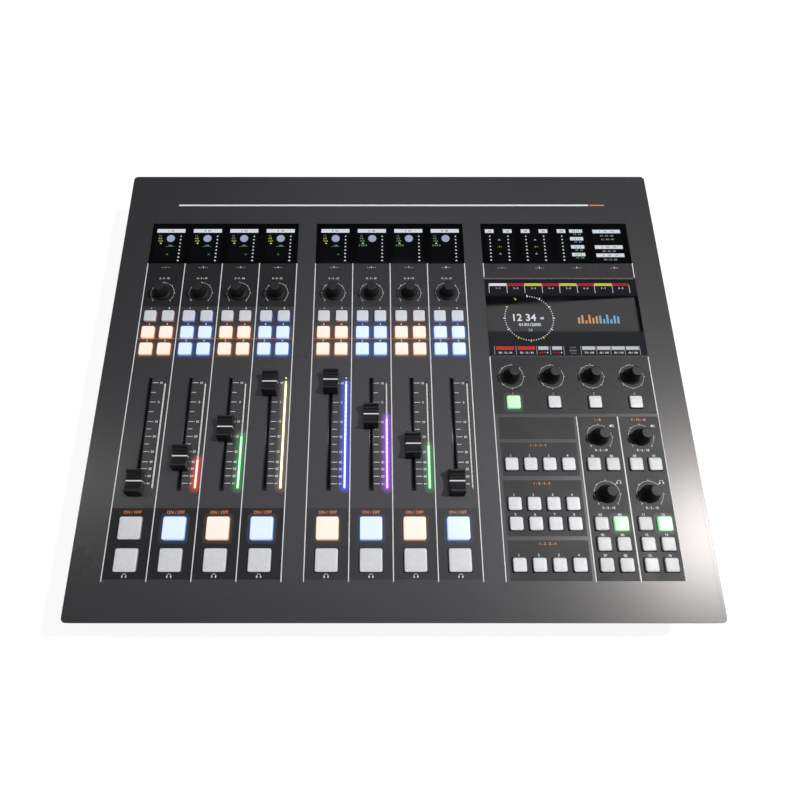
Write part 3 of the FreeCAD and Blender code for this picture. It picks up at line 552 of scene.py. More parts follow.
def film(piece, left, right, front, back):
    """A thin film round the keys and shafts, made as a grid of blocks without their holes' cells."""
    inside = [
        hole for hole in HOLES if hole[0] > left and hole[1] < right and hole[2] > front and hole[3] < back
    ]
    xs = sorted({left, right, *(edge for hole in inside for edge in hole[:2])})
    ys = sorted({front, back, *(edge for hole in inside for edge in hole[2:])})
    low, high = FILM_LOW, FILM_TOP
    grid = {(x, y, z): piece.mesh.verts.new((x, y, z)) for z in (low, high) for x in xs for y in ys}
    cells = {
        (i, j): (a, b, c, d)
        for i, (a, b) in enumerate(zip(xs, xs[1:])) for j, (c, d) in enumerate(zip(ys, ys[1:]))
        if not any(hole[0] < (a + b) / 2 < hole[1] and hole[2] < (c + d) / 2 < hole[3] for hole in inside)
    }
    for (i, j), (a, b, c, d) in cells.items():
        piece.face([grid[x, y, high] for x, y in ((a, c), (b, c), (b, d), (a, d))])
        piece.face([grid[x, y, low] for x, y in ((a, c), (a, d), (b, d), (b, c))])
        for beside, p, q in (
            ((i - 1, j), (a, d), (a, c)), ((i + 1, j), (b, c), (b, d)),
            ((i, j - 1), (a, c), (b, c)), ((i, j + 1), (b, d), (a, d)),
        ):
            if beside not in cells:
                piece.face([grid[(*spot, z)] for spot, z in ((p, low), (q, low), (q, high), (p, high))])
    loose = [vertex for vertex in piece.mesh.verts if not vertex.link_faces]
    bmesh.ops.delete(piece.mesh, geom=loose, context="VERTS")


def overlays():
    """The films: two bands across each channel block, and one round each group of master keys."""
    span = {block: (left, left + BLOCK_WIDE) for block, left in BLOCK_LEFT.items()}
    bands = ((35.7, 98.2), (305.5, 356.6))
    groups = ((163.7, 185.5), (128.0, 160.2), (73.0, 124.0), (34.4, 69.4))
    # The lighter copy goes where the panel is lit more brightly: painted light.
    for name, material, patches in (
        ("overlay_film_1", OVERLAY, [(*span[1], *band) for band in bands]),
        ("overlay_film_2", PAINTED_LIGHT_OVERLAY, [(*span[2], *band) for band in bands]),
        ("overlay_films", OVERLAY, [
            (*span[3], 189, 249), *((px(394), px(467), *group) for group in groups),
            (px(470.8), px(509), 34.4, 186), (px(510.8), px(549.3), 34.4, 186),
        ]),
        ("light_overlay", PAINTED_LIGHT_OVERLAY, [(*span[3], 340, 356.6)]),
    ):
        piece = Piece()
        for left, right, front, back in patches:
            film(piece, left, right, py(front), py(back))
        piece.make(name, [material])


def panel_edge():
    """The painted edge of the folded sheet: a tight bend all round, flush with the top."""
    piece = Piece()
    half_x, half_y = (PANEL_HIGH.x - PANEL_LOW.x) / 2, (PANEL_HIGH.y - PANEL_LOW.y) / 2
    x, y = PANEL_LOW.x + half_x, PANEL_LOW.y + half_y
    bend, crest, corner = 0.15 * MM, TOP + 0.01 * MM, 4.5 * MM
    section = [(3.4 * MM, TOP - 1.0 * MM), (2.2 * MM, TOP - 2.6 * MM), (0, TOP - 2.6 * MM)]
    section += [(bend * inset, crest - bend * drop) for inset, drop in bevel(4)]
    section += [(bend + 0.1 * MM, crest), (3.3 * MM, crest), (3.4 * MM, crest)]
    section.append((3.5 * MM, TOP - 0.05 * MM))
    piece.rings(
        [rounded(x, y, half_x - inset, half_y - inset, corner - inset, z, 8) for inset, z in section],
        close=True,
    )
    piece.make("panel_edge", [PANEL_PAINT])


def case_screws():
    """Pan-head screws in the case sides, which hold the angles under the panel."""
    piece = Piece()
    wall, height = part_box("base_tray")[1].x, 57 * MM
    section = ((0, 2.8), (0.7, 2.8), (1.3, 2.3), (1.7, 1.3), (1.7, 1.1), (0.9, 1.0))
    for side in (-1, 1):
        for y in (-150 * MM, 150 * MM):
            piece.rings([
                [(side * (wall + out * MM), *point) for point in circle(y, height, radius * MM, 20)]
                for out, radius in section
            ])
    piece.make("case_screws", [ZINC], slot="case_paint")


def slot_edges():
    """Rolled edges along both sides of each fader slot, which catch the light."""
    piece = Piece()
    section = [(1.20, 0.0), (1.25, 0.02), (2.15, 0.20), (2.3, 0.17), (2.4, 0.0)]
    for x in COLUMN.values():
        for side in (-1, 1):
            piece.rings([
                [(x + side * reach * MM, py(depth), TOP + rise * MM) for reach, rise in section]
                for depth in (114.2, 226.6)
            ])
        piece.slab(x - 2.0 * MM, x + 2.0 * MM, py(226.1), py(229.2), TOP - 0.6 * MM, TOP + 0.02 * MM)
    piece.make("slot_edges", [SLOT_EDGE])


overlays()
panel_edge()
case_screws()
slot_edges()

prints = {name: Piece() for name in INK}
white = prints["white"]


def line(color, left, right, front, back):
    """A printed bar. Its front and back are depths in millimetres."""
    prints[color].slab(left, right, py(front), py(back), *INK_LAYER)


def label(color, words, x, y, height):
    prints[color].text(words, x, y, height * MM, *INK_LAYER)


def strip_lines():
    """The lines between the strips and across them."""
    half = 0.44 * MM
    left, right = BLOCK_LEFT[3], BLOCK_LEFT[3] + BLOCK_WIDE
    uprights = [(BLOCK_LEFT[block] + PITCH * i, 33.7, 357) for block in (1, 2) for i in range(5)]
    uprights += [
        (left, 33.7, 249), (right, 188, 249), (left, 340, 357), (right, 340, 357),
        (left + 2 * PITCH, 33.7, 186), (left + 3 * PITCH, 33.7, 186),
    ]
    for x, front, back in uprights:
        line("white", x - half, x + half, front, back)
    line("white", right - 0.25 * MM, right + 0.25 * MM, 33.7, 188)
    line("grey", left, right, 338.3, 338.7)
    line("white", px(55), px(512), 430.2, 432.2)
    line("orange", px(513.5), px(530), 430.4, 432.0)
    for left in (BLOCK_LEFT[1], BLOCK_LEFT[2]):
        line("orange", left + half, left + BLOCK_WIDE - half, 268.6, 269.0)


# A fader scale's marks: depth and number.
SCALE = {
    221.5: "10", 211.3: "", 201.4: "0", 191.5: "", 181.5: "10", 174.1: "", 166.7: "20", 159.2: "",
    151.8: "30", 141.9: "40", 135.4: "50", 128.5: "60", 121.5: "∞",
}


def fader_scales():
    half = 0.25
    for number, x in COLUMN.items():
        shift = 0.4 if number < 5 else 0.8
        for depth, mark in SCALE.items():
            depth -= shift
            reach = 8.0 if mark else 6.8
            line("white", x + 2.3 * MM, x + reach * MM, depth - half, depth + half)
            if mark:
                label("white", mark, x + 10.9 * MM, py(depth), 2.3)


def dial(x, y, start, end, ticks):
    """The arc round a knob, with ticks across it."""
    radius, thick = 12.1 * MM, 0.12 * MM
    white.arc(x, y, radius - thick, radius + thick, start, end, *INK_LAYER, 72)
    centre = Vector((x, y))
    for i in range(ticks):
        angle = radians(start + (end - start) * i / (ticks - (abs(end - start) < 360)))
        out = Vector((cos(angle), sin(angle)))
        side = Vector((-out.y, out.x)) * 0.22 * MM
        inner, outer = centre + out * (radius - 0.1 * MM), centre + out * (radius + 1.3 * MM)
        white.prism([outer + side, outer - side, inner - side, inner + side], *INK_LAYER)


ICON = 0.75 * MM  # one unit of an icon's drawing


def speaker_icon(x, y):
    cone = [(-2.4, -0.8), (-1.2, -0.8), (0.4, -2.2), (0.4, 2.2), (-1.2, 0.8), (-2.4, 0.8)]
    white.prism([(x + a * ICON, y + b * ICON) for a, b in cone], *INK_LAYER)
    for radius in (1.8, 3.0):
        white.arc(x, y, (radius - 0.2) * ICON, (radius + 0.2) * ICON, -42, 42, *INK_LAYER, 8)


def phones_icon(x, y):
    white.arc(x, y, 2.2 * ICON, 2.7 * ICON, 0, 180, *INK_LAYER, 14)
    for side in (-1, 1):
        left = x + (side * 2.3 - 0.7) * ICON
        white.slab(left, left + 1.4 * ICON, y - 2.0 * ICON, y + 0.4 * ICON, *INK_LAYER)


def dials():
    for name in KNOBS:
        x, y, _ = middle(name)
        dial(x, y, *((90, 450, 8) if name in ENCODER_KNOBS else (225, -45, 7)))
    for name in VOLUME_KNOBS:
        x, y, _ = middle(name)
        label("white", "0 - 5 - 10", x, y - 12.6 * MM, 2.3)
        if "speaker" in name:
            speaker_icon(x + 12.6 * MM, y + 11.2 * MM)
        else:
            phones_icon(x + 12.4 * MM, y + 11.0 * MM)


def number_keys(node, lift, first=1, form="d"):
    """Numbers behind the keys of a node."""
    for number, (low, high) in enumerate(KEYS[node], first):
        label("white", f"{number:{form}}", (low + high).x / 2, high.y + lift * MM, 2.3)


def labels():
    for number, x in COLUMN.items():
        label("white", f"- - {number} - -", x, py(352.4), 2.3)
        label("white", "0 - 5 - 10", x, py(338.9), 2.1)
        label("orange", "ON / OFF", x, py(94.6), 2.9)
        phones_icon(x, py(38.6))
        number_keys(f"channel_{number}_keys", 3.7)
    for (number, x), (_, high) in zip(MASTER.items(), KEYS["encoder_keys"]):
        label("white", f"- - {number} - -", x, py(351.8), 2.3)
        label("grey" if number == 2 else "orange", str(number), x, high.y + 3.1 * MM, 2.6)
    for x, y, words in (
        (490, 183, "1 - 8"), (530, 183, "9 - 10 - 16"), (430, 157.7, "1 - 2 - 3 - 4"),
        (430, 121, "1 - 2 - 4 - 8"), (430, 66.5, "1 - 2 - 3 - 4"),
    ):
        label("orange", words, px(x), py(y), 2.5)
    for node in ("snapshot_keys", "smart_keys", "talk_back_keys"):
        number_keys(node, 2.5)
    number_keys("studio_keys", 2.2, form="02d")
    number_keys("control_room_keys", 2.2, first=9, form="02d")


strip_lines()
fader_scales()
dials()
labels()
for name, piece in prints.items():
    piece.make(f"print_{name}", [INK[name]])

# ---- displays


class Picture(Piece):
    """What a display shows, laid out in millimetres from a corner: x to the right, y to the rear."""

    def __init__(self, left, front, lift):
        super().__init__()
        self.left, self.front = left, front
        self.layer = TOP + (0.01 + lift) * MM, TOP + (0.03 + lift) * MM

    def at(self, x, y):
        return self.left + x * MM, self.front + y * MM

    def pick(self, tone):
        self.index = list(SHOWN).index(tone)

    def bar(self, tone, x1, x2, y1, y2):
        self.pick(tone)
        (left, front), (right, back) = self.at(x1, y1), self.at(x2, y2)
        self.slab(left, right, front, back, *self.layer)

    def dot(self, tone, x, y, radius, steps):
        self.pick(tone)
        self.disc(*self.at(x, y), radius * MM, *self.layer, steps)

    def wedge(self, tone, x, y, wide, tall):
        self.pick(tone)
        corners = [(x - wide / 2, y - tall / 2), (x + wide / 2, y - tall / 2), (x, y + tall / 2)]
        self.prism([self.at(*corner) for corner in corners], *self.layer)

    def words(self, tone, words, x, y, height, wide=1.0):
        self.pick(tone)
        self.text(words, *self.at(x, y), height * MM, *self.layer, wide)


def layers(left, front):
    """The unlit ground of a display, what it shows, and the marks over that."""
    return [Picture(left, front, lift) for lift in (0.0, 0.02, 0.04)]


def finish(*pictures, name):
    for kind, picture in zip(("back", "picture", "marks"), pictures):
        picture.make(name.format(kind), list(SHOWN.values()), slot="window_glass")


def meter_marks(picture, x, top, bottom):
    """A meter's eight marks, which grow a little downwards."""
    for i in range(8):
        y = top + (bottom - top) * i / 7
        picture.wedge("white", x - 0.05 * i, y + 0.2, 1.5 + 0.1 * i, 1.5)
        picture.bar("white", x - 0.9 - 0.05 * i, x + 0.9, y - 0.9, y - 0.4)


def channel_pictures():
    """The four small displays of each channel block: a title, a level disc and a meter's marks."""
    for block, first in ((1, 1), (2, 5)):
        back, shown, marks = layers(0, FRONT)
        for number in range(first, first + 4):
            back.left = shown.left = marks.left = COLUMN[number]
            back.bar("back", -15.4, 15.6, 359.6, 401.0)
            shown.bar("white", -15.0, 15.8, 395.6, 400.2)
            shown.dot("disc", 0.9, 388.2, 4.4, 40)
            meter_marks(shown, 11.8, 391.3, 360.9)
            shown.words("dim", "1 0", -11.2, 391.6, 1.6)
            shown.words("yellow" if number in (1, 2, 4, 5) else "green", "4 8", -10.8, 388.4, 2.0, 1.1)
            shown.words("yellow" if number < 6 else "green", "12.0", -10.2, 385.2, 2.0, 1.1)
            shown.wedge("white", -9.4, 382.4, 2.4, 1.9)
            marks.words("ink", f"{number}  0{number}", 0.4, 397.9, 2.2, 1.2)
            if number < 6:
                shown.words("dim", "100", 1.2, 379.4, 1.5, 1.4)
                shown.bar("green", -3.6, 5.6, 378.0, 378.3)
                shown.words("green", "12", -1.0 if number in (1, 4) else 4.0, 368.3, 1.7)
            else:
                shown.words("green", "2 0 0 0", -9.4, 379.6, 2.1, 1.1)
        finish(back, shown, marks, name=f"display_{{}}_{block}")


def master_pictures():
    """The four displays of the master block: meters, values and clocks."""
    back, shown, marks = layers(BLOCK_LEFT[3], FRONT + 0.9 * MM)
    for start in (4.0, 43.4, 82.8, 121.6):
        back.bar("back", start, start + 32, 359.6, 400.6)
    for number, x in enumerate((9.4, 29.2, 48.8, 68.4, 88.2), 1):
        shown.bar("white", x - 4.9, x + 4.6, 394.4, 399.0)
        marks.words("ink", f"{number}0", x, 396.7, 2.2, 1.2)
        meter_marks(shown, x, 390.5, 360.5)
    for x in (19.4, 58.6):
        shown.wedge("dim", x, 385.9, 3.2, 2.0)
        shown.words("yellow", "- 0 +", x, 377.0, 1.7)
        shown.wedge("dim", x, 368.4, 3.2, 2.0)
    for tone, y in (("green", 396.7), ("sky", 387.0), ("green", 376.7), ("green", 367.1)):
        shown.bar("white", 96.9, 111.2, y - 2.1, y + 2.1)
        marks.words("ink", "10 12", 104.0, y, 2.1, 1.2)
        shown.words(tone, "18  24", 105.0, y - 3.9, 2.0, 1.25)
    for number, (x, y) in enumerate(((122.5, 396.2), (122.7, 376.4), (123.0, 366.2)), 1):
        shown.bar("white", x, x + 30.2, y - 2.2, y + 2.2)
        marks.words("ink", f"{number}   0{number}   10", x + 15.1, y, 2.2, 1.3)
    for words, y in (
        ("01 : 01 : 00", 390.8), ("12 : 34 : 49", 386.2), ("00 : 12 : 34", 371.4), ("00 : 12 : 34", 360.9),
    ):
        shown.words("dim", words, 137.5, y, 2.0, 1.15)
    finish(back, shown, marks, name="display_{}_3")


def clock(shown, x, y, radius):
    """A ring of dots for the seconds, with five-second marks, and plain digits inside."""
    def dots(tone, second, steps, *size):
        turn = radians(90 - 6 * second)
        for step in steps:
            shown.dot(tone, x + (radius + step) * cos(turn), y + (radius + step) * sin(turn), *size)

    for second in range(60):
        if second % 5 == 0:
            dots("yellow" if second in (25, 30, 35, 50, 55) else "white", second, (-0.7, 0.0, 0.7), 0.72, 10)
        elif second < 50:
            dots("white", second, (-0.4,), 0.62, 8)
    shown.words("white", "12 34", x - 5.6, y + 1.0, 8.2, 1.02)
    shown.words("white", "49", x + 13.3, y - 0.2, 3.2)
    shown.words("white", "01/01/2000", x + 0.2, y - 7.3, 3.5, 1.05)
    shown.words("dim", "24", x + 0.1, y - 13.4, 3.2)


def screen_picture():
    """The touch screen: eight tabs, a clock, a plain level graph and a row of readings."""
    back, shown, _ = layers(BLOCK_LEFT[3], FRONT)
    back.bar("back", 3.5, 156.5, 250.6, 333.0)
    edges = [4.4, 23.3, 42.0, 60.5, 79.0, 97.6, 115.9, 134.7, 152.6]
    tones = ("white", *("dark_red", "yellow") * 3, "dark_red")
    for number, (x, after, tone) in enumerate(zip(edges, edges[1:], tones), 1):
        shown.bar(tone, x, after - 0.2, 329.7, 332.9)
        shown.words("white", f"{number} - {number}", (x + after) / 2, 327.1, 2.0)
    for x in edges:
        shown.bar("white", x - 0.25, x + 0.25, 321.4, 330.7)
    clock(shown, 43.6, 292.2, 25.5)
    for i in range(12):
        tall = 3.0 + 7.0 * abs(sin(1.3 * i + 0.6))
        shown.bar("orange" if i < 6 else "sky", 94.0 + 3.7 * i, 96.2 + 3.7 * i, 286.0, 286.0 + tall)
    for x in (5.3, 27.2, 48.2, 62.0, 75.8, 93.2, 108.9, 123.3, 137.8, 153.0):
        shown.bar("dim", x - 0.25, x + 0.25, 251.2, 260.8)
    row = 256.5, 260.4
    for x1, x2 in ((7.0, 25.2), (28.9, 46.5)):
        shown.bar("red", x1, x2, *row)
        shown.words("white", "00 : 12 : 34", (x1 + x2) / 2, 253.5, 2.1, 1.05)
    for x1, x2, tone in ((49.9, 60.2, "red"), (64.0, 74.0, "dark_red")):
        shown.bar("pale", x1, x2, *row)
        for i in range(4):
            shown.dot(tone if i < 3 else "white", x1 + 1.2 + 2.6 * i, 253.6, 0.75, 12)
    for words, y in (("1 2 3 4", 259.2), ("00:12:34", 255.9), ("1 2 3 4", 252.8)):
        shown.words("dim", words, 85.0, y, 1.5)
    for number, x in enumerate((94.6, 109.8, 124.4, 139.0)):
        shown.bar("pale", x, x + 13.2, *row)
        shown.words("white", f"{70 - 10 * number} / 100", x + 6.6, 253.5, 2.1)
    finish(back, shown, name="screen_{}")


channel_pictures()
master_pictures()
screen_picture()

# ---- keys

# A lit cap is made wider by this much: a painted halo of its glow.
LIT_GROW = 0.42 * MM  # how far a lit cap's halo reaches past the key on each side
START_TONES = ("blue", "amber") * 3 + ("blue",)
LIT_KEYS = {
    (f"channel_{number}_keys", spot): "amber" if number % 2 else "blue"
    for number in CHANNELS for spot in range(2, 6)
}
LIT_KEYS.update({("start_keys", spot): tone for spot, tone in enumerate(START_TONES, 1)})
LIT_KEYS.update({("encoder_keys", 0): "green", ("studio_keys", 3): "green", ("control_room_keys", 3): "green"})


def cap(piece, low, high, grow):
    """A key cap with round corners, a soft top edge and a slightly crowned top."""
    x, y, _ = (low + high) / 2
    half = (high.x - low.x) / 2 + grow
    corner, edge, crown = 1.7 * MM, 0.8 * MM, 0.12 * MM
    rings = [rounded(x, y, half, half, corner, z) for z in (low.z, high.z - 1.4 * edge)]
    for share, drop in bevel(5)[1:]:
        inset = edge * share
        side, z = half - inset, high.z - crown - edge * drop
        rings.append(rounded(x, y, side, side, corner - 0.6 * inset, z))
    for share, drop in ((0.75, 0.04 * MM), (0.4, 0)):
        side = (half - edge) * share
        rings.append(rounded(x, y, side, side, corner * share * 0.7, high.z - drop))
    piece.rings(rings)


def key_caps(node, boxes):
    piece = Piece()
    looks = [None, *KEY_LIGHT]
    for spot, (low, high) in enumerate(boxes):
        tone = LIT_KEYS.get((node, spot))
        look = f"lit_{tone}" if tone else None
        # Plain keys in a channel take painted light on their flanks, in the colour of the channel's lit keys.
        if node.startswith("channel") and not tone:
            look = f"edge_{LIT_KEYS[node, 2]}"
        piece.index = looks.index(look)
        cap(piece, low, high, LIT_GROW if tone and node != "start_keys" else 0.0)
    # The studio and control room keys take the darker copy: painted shade.
    plain = SHADED_KEY_PLASTIC if node in ("studio_keys", "control_room_keys") else KEY_PLASTIC
    piece.make(f"{node}_caps", [plain, *KEY_LIGHT.values()], node, "key_plastic", [node])


for node, boxes in KEYS.items():
    key_caps(node, boxes)

# Painted light thrown onto the panel round lit keys: colour and strength; and for each ground its finish, share
# and height.
SPILL_TONES = {
    "blue": ((0.08, 0.22, 1.0), 0.24),
    "amber": ((1.0, 0.28, 0.08), 0.12),
    "green": ((0.12, 0.9, 0.2), 0.12),
}
GROUNDS = {"paint": (PAINT, 1.3, TOP), "film": (FILM, 0.5, FILM_TOP)}


def key_spills():
    """Painted light on the panel round the lit keys, standing in for the light they throw there."""
    for tone, (color, strength) in SPILL_TONES.items():
        for ground, (finish, share, base) in GROUNDS.items():
            spots = []
            for (node, spot), lit in LIT_KEYS.items():
                if lit == tone and node.startswith("channel") == (ground == "paint"):
                    low, high = KEYS[node][spot]
                    half = (high.x - low.x) / 2 + 0.45 * MM
                    spots.append((*((low + high) / 2).xy, half, half, 3.2 * MM))
            if spots:
                material = spill_film(f"spill_{tone}_{ground}", finish, color, share * strength)
                spill(f"key_spill_{tone}_{ground}", material, spots, base + 0.004 * MM, base + 0.035 * MM)


key_spills()

# ---- knobs

# Radii of a knob from its top to its stem.
KNOB_TOP, KNOB_WAIST, KNOB_SKIRT, KNOB_STEM = 5.2 * MM, 6.6 * MM, 8.5 * MM, 3.0 * MM


def knob(name):
    """A turned knob: a skirt, a hollow waist and a round rim."""
    low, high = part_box(name)
    foot, rim = TOP + 0.5 * MM, 0.55 * MM
    throat, shoulder = KNOB_SKIRT - 0.3 * MM, foot + 1.45 * MM
    profile = [
        (KNOB_STEM, low.z), (KNOB_STEM, foot), (KNOB_SKIRT - 0.2 * MM, foot),
        (KNOB_SKIRT, foot + 0.25 * MM), (KNOB_SKIRT, foot + 1.0 * MM), (KNOB_SKIRT - 0.25 * MM, foot + 1.35 * MM),
    ]
    profile += [
        (throat + (KNOB_WAIST - throat) * (1 - drop), shoulder + 2.4 * MM * inset)
        for inset, drop in bevel(6)
    ]
    profile += [(KNOB_TOP - rim * inset, high.z - rim * drop) for inset, drop in bevel(5)]
    profile += [(KNOB_STEM, high.z), (1.0 * MM, high.z)]
    piece = Piece()
    piece.lathe(*middle(name).xy, profile)
    piece.make(f"{name}_turned", [KNOB_PLASTIC], name, "knob_plastic", [name])


for name in KNOBS:
    knob(name)

# ---- faders

CAP, FOOT = 7.15 * MM, 12.5 * MM  # half of a cap's width, and of its length at the foot
RIDGE_IN, RIDGE_OUT = 8.5 * MM, 10.1 * MM
DIP_LOW, RIDGE_TOP = 9.2 * MM, 14.0 * MM
RIB_PITCH, RIB_DEEP = 2.55 * MM, 0.55 * MM
DIP_STEPS = 84


def dip(y):
    """Height above the panel of the ribbed finger dip."""
    share = abs(y) / RIDGE_IN
    ridge = cos(2 * pi * (abs(y) - 0.3 * MM) / RIB_PITCH)
    groove = RIB_DEEP * (0.5 - 0.5 * max(-1.0, min(1.0, 1.6 * ridge)))
    return DIP_LOW + (RIDGE_TOP - 0.9 * MM - DIP_LOW) * share ** 1.8 - groove * min(1, 6 * (1 - share))


def cap_profile(inset):
    """Side view of a cap, anticlockwise from the foot of its front face."""
    foot, top = FOOT - inset, RIDGE_TOP - inset
    flank = [(foot, 2.2 * MM), (RIDGE_OUT + 0.45 * MM, 12.6 * MM)]
    flank += [(RIDGE_OUT + 0.1 * MM - 0.6 * MM * a, top - 0.7 * MM * b) for a, b in bevel(4)]
    flank.append((RIDGE_IN + 0.35 * MM, top - 0.05 * MM))
    across = [RIDGE_IN * (1 - 2 * i / DIP_STEPS) for i in range(DIP_STEPS + 1)]
    mirrored = [(-y, z) for y, z in reversed(flank)]
    return [(-foot, 1.0 * MM), (foot, 1.0 * MM), *flank, *((y, dip(y) - inset) for y in across), *mirrored]


def fader(number):
    """A ribbed cap on its lever and carriage, and the white line across it and down its flanks."""
    name = f"fader_{number}"
    low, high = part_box(name)
    x, y, _ = middle(name)
    edge = 0.35 * MM
    piece = Piece()
    sides = ((-CAP, edge), (-CAP + edge, 0), (CAP - edge, 0), (CAP, edge))
    piece.rings([[(x + side, y + b, TOP + c) for b, c in cap_profile(inset)] for side, inset in sides], False)
    piece.slab(x - 0.8 * MM, x + 0.8 * MM, y - 2 * MM, y + 2 * MM, low.z + 3.9 * MM, TOP + 2 * MM)
    piece.rings([rounded(x, y, 4 * MM, 4 * MM, 0.6 * MM, z) for z in (low.z, low.z + 4 * MM)], False)
    piece.make(f"{name}_cap", [FADER_PLASTIC], name, "fader_plastic", [name])
    piece = Piece()
    half, reach, crest = 0.55 * MM, (high.x - low.x) / 2, TOP + DIP_LOW + 0.4 * MM
    piece.slab(x - reach, x + reach, y - half, y + half, crest - 0.7 * MM, crest)
    for side in (-1, 1):
        inner, outer = sorted((x + side * (CAP - 0.2 * MM), x + side * reach))
        piece.slab(inner, outer, y - half, y + half, TOP + 3 * MM, crest - 0.6 * MM)
    piece.make(f"{name}_line", [LINE_WHITE], name, "fader_plastic")


for number in CHANNELS:
    fader(number)

# ---- light bars

# Each bar's light: colour, colour where it is brightest, the row up to which it is lit, the light of
# the dot above it, and of the painted light that spills onto the panel.
UNLIT_BAR = ((0.9, 0.85, 0.7), (0.9, 0.85, 0.7), 0, 0.0, 0.0)
BARS = {
    2: ((1.0, 0.08, 0.05), (1.0, 0.60, 0.40), 144, 0.03, 0.55),
    3: ((0.06, 0.9, 0.20), (0.40, 1.0, 0.42), 168, 0.02, 0.28),
    4: ((1.0, 0.78, 0.28), (1.0, 0.95, 0.70), 300, 1.0, 0.16),
    5: ((0.05, 0.10, 1.0), (0.66, 0.72, 1.0), 300, 1.0, 0.75),
    6: ((0.42, 0.08, 1.0), (0.75, 0.36, 1.0), 186, 0.08, 0.6),
    7: ((0.06, 0.9, 0.20), (0.40, 1.0, 0.42), 158, 0.0, 0.24),
}
BEADS = 23
BEAD_CORNER = 0.7


def light_bar(number, low, high):
    """A row of beads, lit up to a depth, with two dots above them and a dark flat film on either side, painted
    shade for the shadow beside the bar.
    """
    tone, core, reach, dot, spread = BARS.get(number, UNLIT_BAR)
    piece = Piece()
    x, beads_end = (low.x + high.x) / 2, high.y - 1.2 * MM
    pitch = (beads_end - low.y) / BEADS
    for i in range(BEADS):
        y = low.y + pitch * (i + 0.5)
        lit = y < py(reach)
        piece.index = int(lit)
        half_x, half_y = (0.5 if lit else 0.42) * (high.x - low.x), pitch * 0.5
        rings = [rounded(x, y, half_x, half_y, BEAD_CORNER * MM, TOP - 2 * MM if i else low.z, 4)]
        for share, rise in ((1.0, 0.15), (0.85, 0.38), (0.5, 0.52), (0.2, 0.56)):
            corner = BEAD_CORNER * share * MM
            rings.append(rounded(x, y, half_x * share, half_y * share, corner, TOP + rise * MM, 4))
        piece.rings(rings)
    piece.index = 2
    for place, size in ((high.y + 0.3 * MM, 1.3), (py(226.0), 0.9)):
        section = [(0.75, 0.0), (0.75, 0.12), (0.6, 0.3), (0.3, 0.4)]
        piece.lathe(x, place, [(size * r * MM, TOP + z * MM) for r, z in section], 20)
    # Painted shade: dark flat films on either side of the beads.
    piece.index = 3
    for side in (-1, 1):
        edges = sorted((x + side * 0.92 * MM, x + side * 1.75 * MM))
        piece.slab(*edges, low.y - 0.8 * MM, high.y + 0.6 * MM, TOP, TOP + 0.03 * MM)
    bead = glowing(f"bar_lit_{number}", [0.4] * 3, (core, 1.55), (tone, 4.0))
    spark = glowing(f"dot_lit_{number}", [0.02] * 3, (core, 1.5 * dot), (tone, 3.0 * dot))
    materials = [BEAD_PLASTIC, bead, spark if dot else DOT_PLASTIC, BAR_SHADE]
    covers = ["light_bars"] if number == 1 else ()
    piece.make(f"light_bar_{number}", materials, slot="light_plastic", replaces=covers)
    # Painted light: an emissive film for the glow the lit beads throw onto the panel.
    if spread:
        half = (min(beads_end, py(reach)) - low.y) / 2
        material = spill_film(f"spill_bar_{number}", PAINT, tone, spread)
        spot = (x, low.y + half, 0.9 * MM, half, 6.0 * MM)
        spill(f"bar_spill_{number}", material, [spot], TOP + 0.032 * MM, TOP + 0.06 * MM)


for number, box in zip(CHANNELS, sorted(islands("light_bars"), key=lambda box: box[0].x)):
    light_bar(number, *box)

# ---- stage

OVERHEAD = 2.5  # height of the lights above the console, in metres


def bare_material(name):
    """A material without nodes, and its tree."""
    material = bpy.data.materials.new(name)
    material.use_nodes = True
    material.node_tree.nodes.clear()
    return material, Tree(material.node_tree)


def lamp(name, place, aim, size, power, shape="DISK", tone=(1.0, 1.0, 1.0)):
    """An area lamp at a place, turned to a point. size is one or two lengths."""
    data = bpy.data.lights.new(name, "AREA")
    data.shape, data.size, data.size_y = shape, size[0], size[-1]
    data.energy, data.color = power, tone
    holder = add_object(name, data)
    holder.location = place
    holder.rotation_mode = "QUATERNION"
    holder.rotation_quaternion = (Vector(place) - Vector(aim)).to_track_quat("Z", "Y")


def softbox(name, left, right, front, back, radiance):
    """A level rectangle of light that shines straight down."""
    x, y = (left + right) / 2, (front + back) / 2
    wide, deep = right - left, back - front
    power = radiance * pi * wide * deep
    lamp(name, (x, y, OVERHEAD), (x, y, 0), (wide, deep), power, "RECTANGLE", (0.93, 0.93, 1.10))


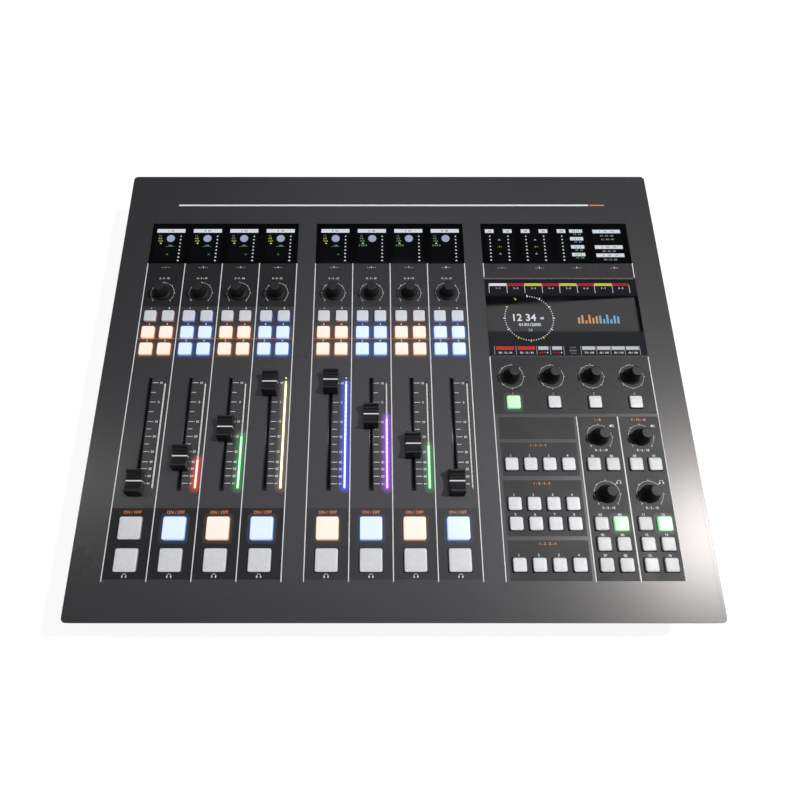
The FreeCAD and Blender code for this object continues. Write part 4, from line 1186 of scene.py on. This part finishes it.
def glow_card(name, outline, radiance):
    """A level card of any outline that shines evenly."""
    data = bpy.data.meshes.new(name)
    data.from_pydata([(x, y, OVERHEAD) for x, y in outline], [], [tuple(range(len(outline)))])
    card = add_object(name, data)
    material, tree = bare_material(name)
    tree.add("OutputMaterial", {"Surface": tree.add("Emission", {"Strength": radiance})[0]})
    data.materials.append(material)


def make_floor():
    """A wide floor: lit as a grey one, and seen, also in reflections, as an even white."""
    material, tree = bare_material("floor")
    paths = tree.add("LightPath", {})
    seen = tree.math("MAXIMUM", paths["Is Camera Ray"], paths["Is Glossy Ray"])
    seen = tree.math("MAXIMUM", seen, paths["Is Transmission Ray"])
    mix = tree.add("MixShader", {
        "Fac": tree.math("MULTIPLY", seen, 0.8),
        1: tree.add("BsdfDiffuse", {"Color": (0.8, 0.8, 0.8, 1)})[0],
        2: tree.add("Emission", {"Color": (1, 1, 1, 1), "Strength": 1.15})[0],
    })
    tree.add("OutputMaterial", {"Surface": mix[0]})
    piece = Piece()
    piece.disc(0, 0, 12.0, -0.02, 0.0, 96)
    floor = add_object("floor", piece.data("floor", [material]))


def make_world():
    """White to the camera, and dim to everything else."""
    world = bpy.data.worlds.new("studio")
    bpy.context.scene.world = world
    world.use_nodes = True
    tree = Tree(world.node_tree)
    seen = tree.add("LightPath", {})["Is Camera Ray"]
    level = tree.add("MapRange", {"To Min": 0.03, "To Max": 1.0, "Value": seen})["Result"]
    tree.feed(world.node_tree.nodes["Background"], {"Color": (1, 1, 1, 1), "Strength": level})


make_floor()
make_world()
bpy.context.scene.view_settings.view_transform = "Standard"
lamp("key_lamp", (1.70, 0.24, 3.0), (0, 0, 0.06), (0.12,), 94)
lamp("side_lamp", (-1.05, 0.27, 1.87), (0, 0, 0.06), (0.08,), 2.0)
softbox("overhead", -0.8, 0.83, -0.12, 0.95, 1.45)
softbox("overhead_middle", -0.45, 0.45, 0.95, 1.5, 1.0)
softbox("overhead_far", -0.5, 0.5, 1.8, 2.5, 0.8)
softbox("overhead_rear", 0.5, 1.5, 0.95, 1.127, 0.5)
softbox("overhead_back", 0.5, 1.5, 1.32, 1.5, 0.3)
glow_card("overhead_strip", ((0.5, 1.127), (1.27, 1.127), (1.27, 1.31), (0.5, 1.26)), 1.4)
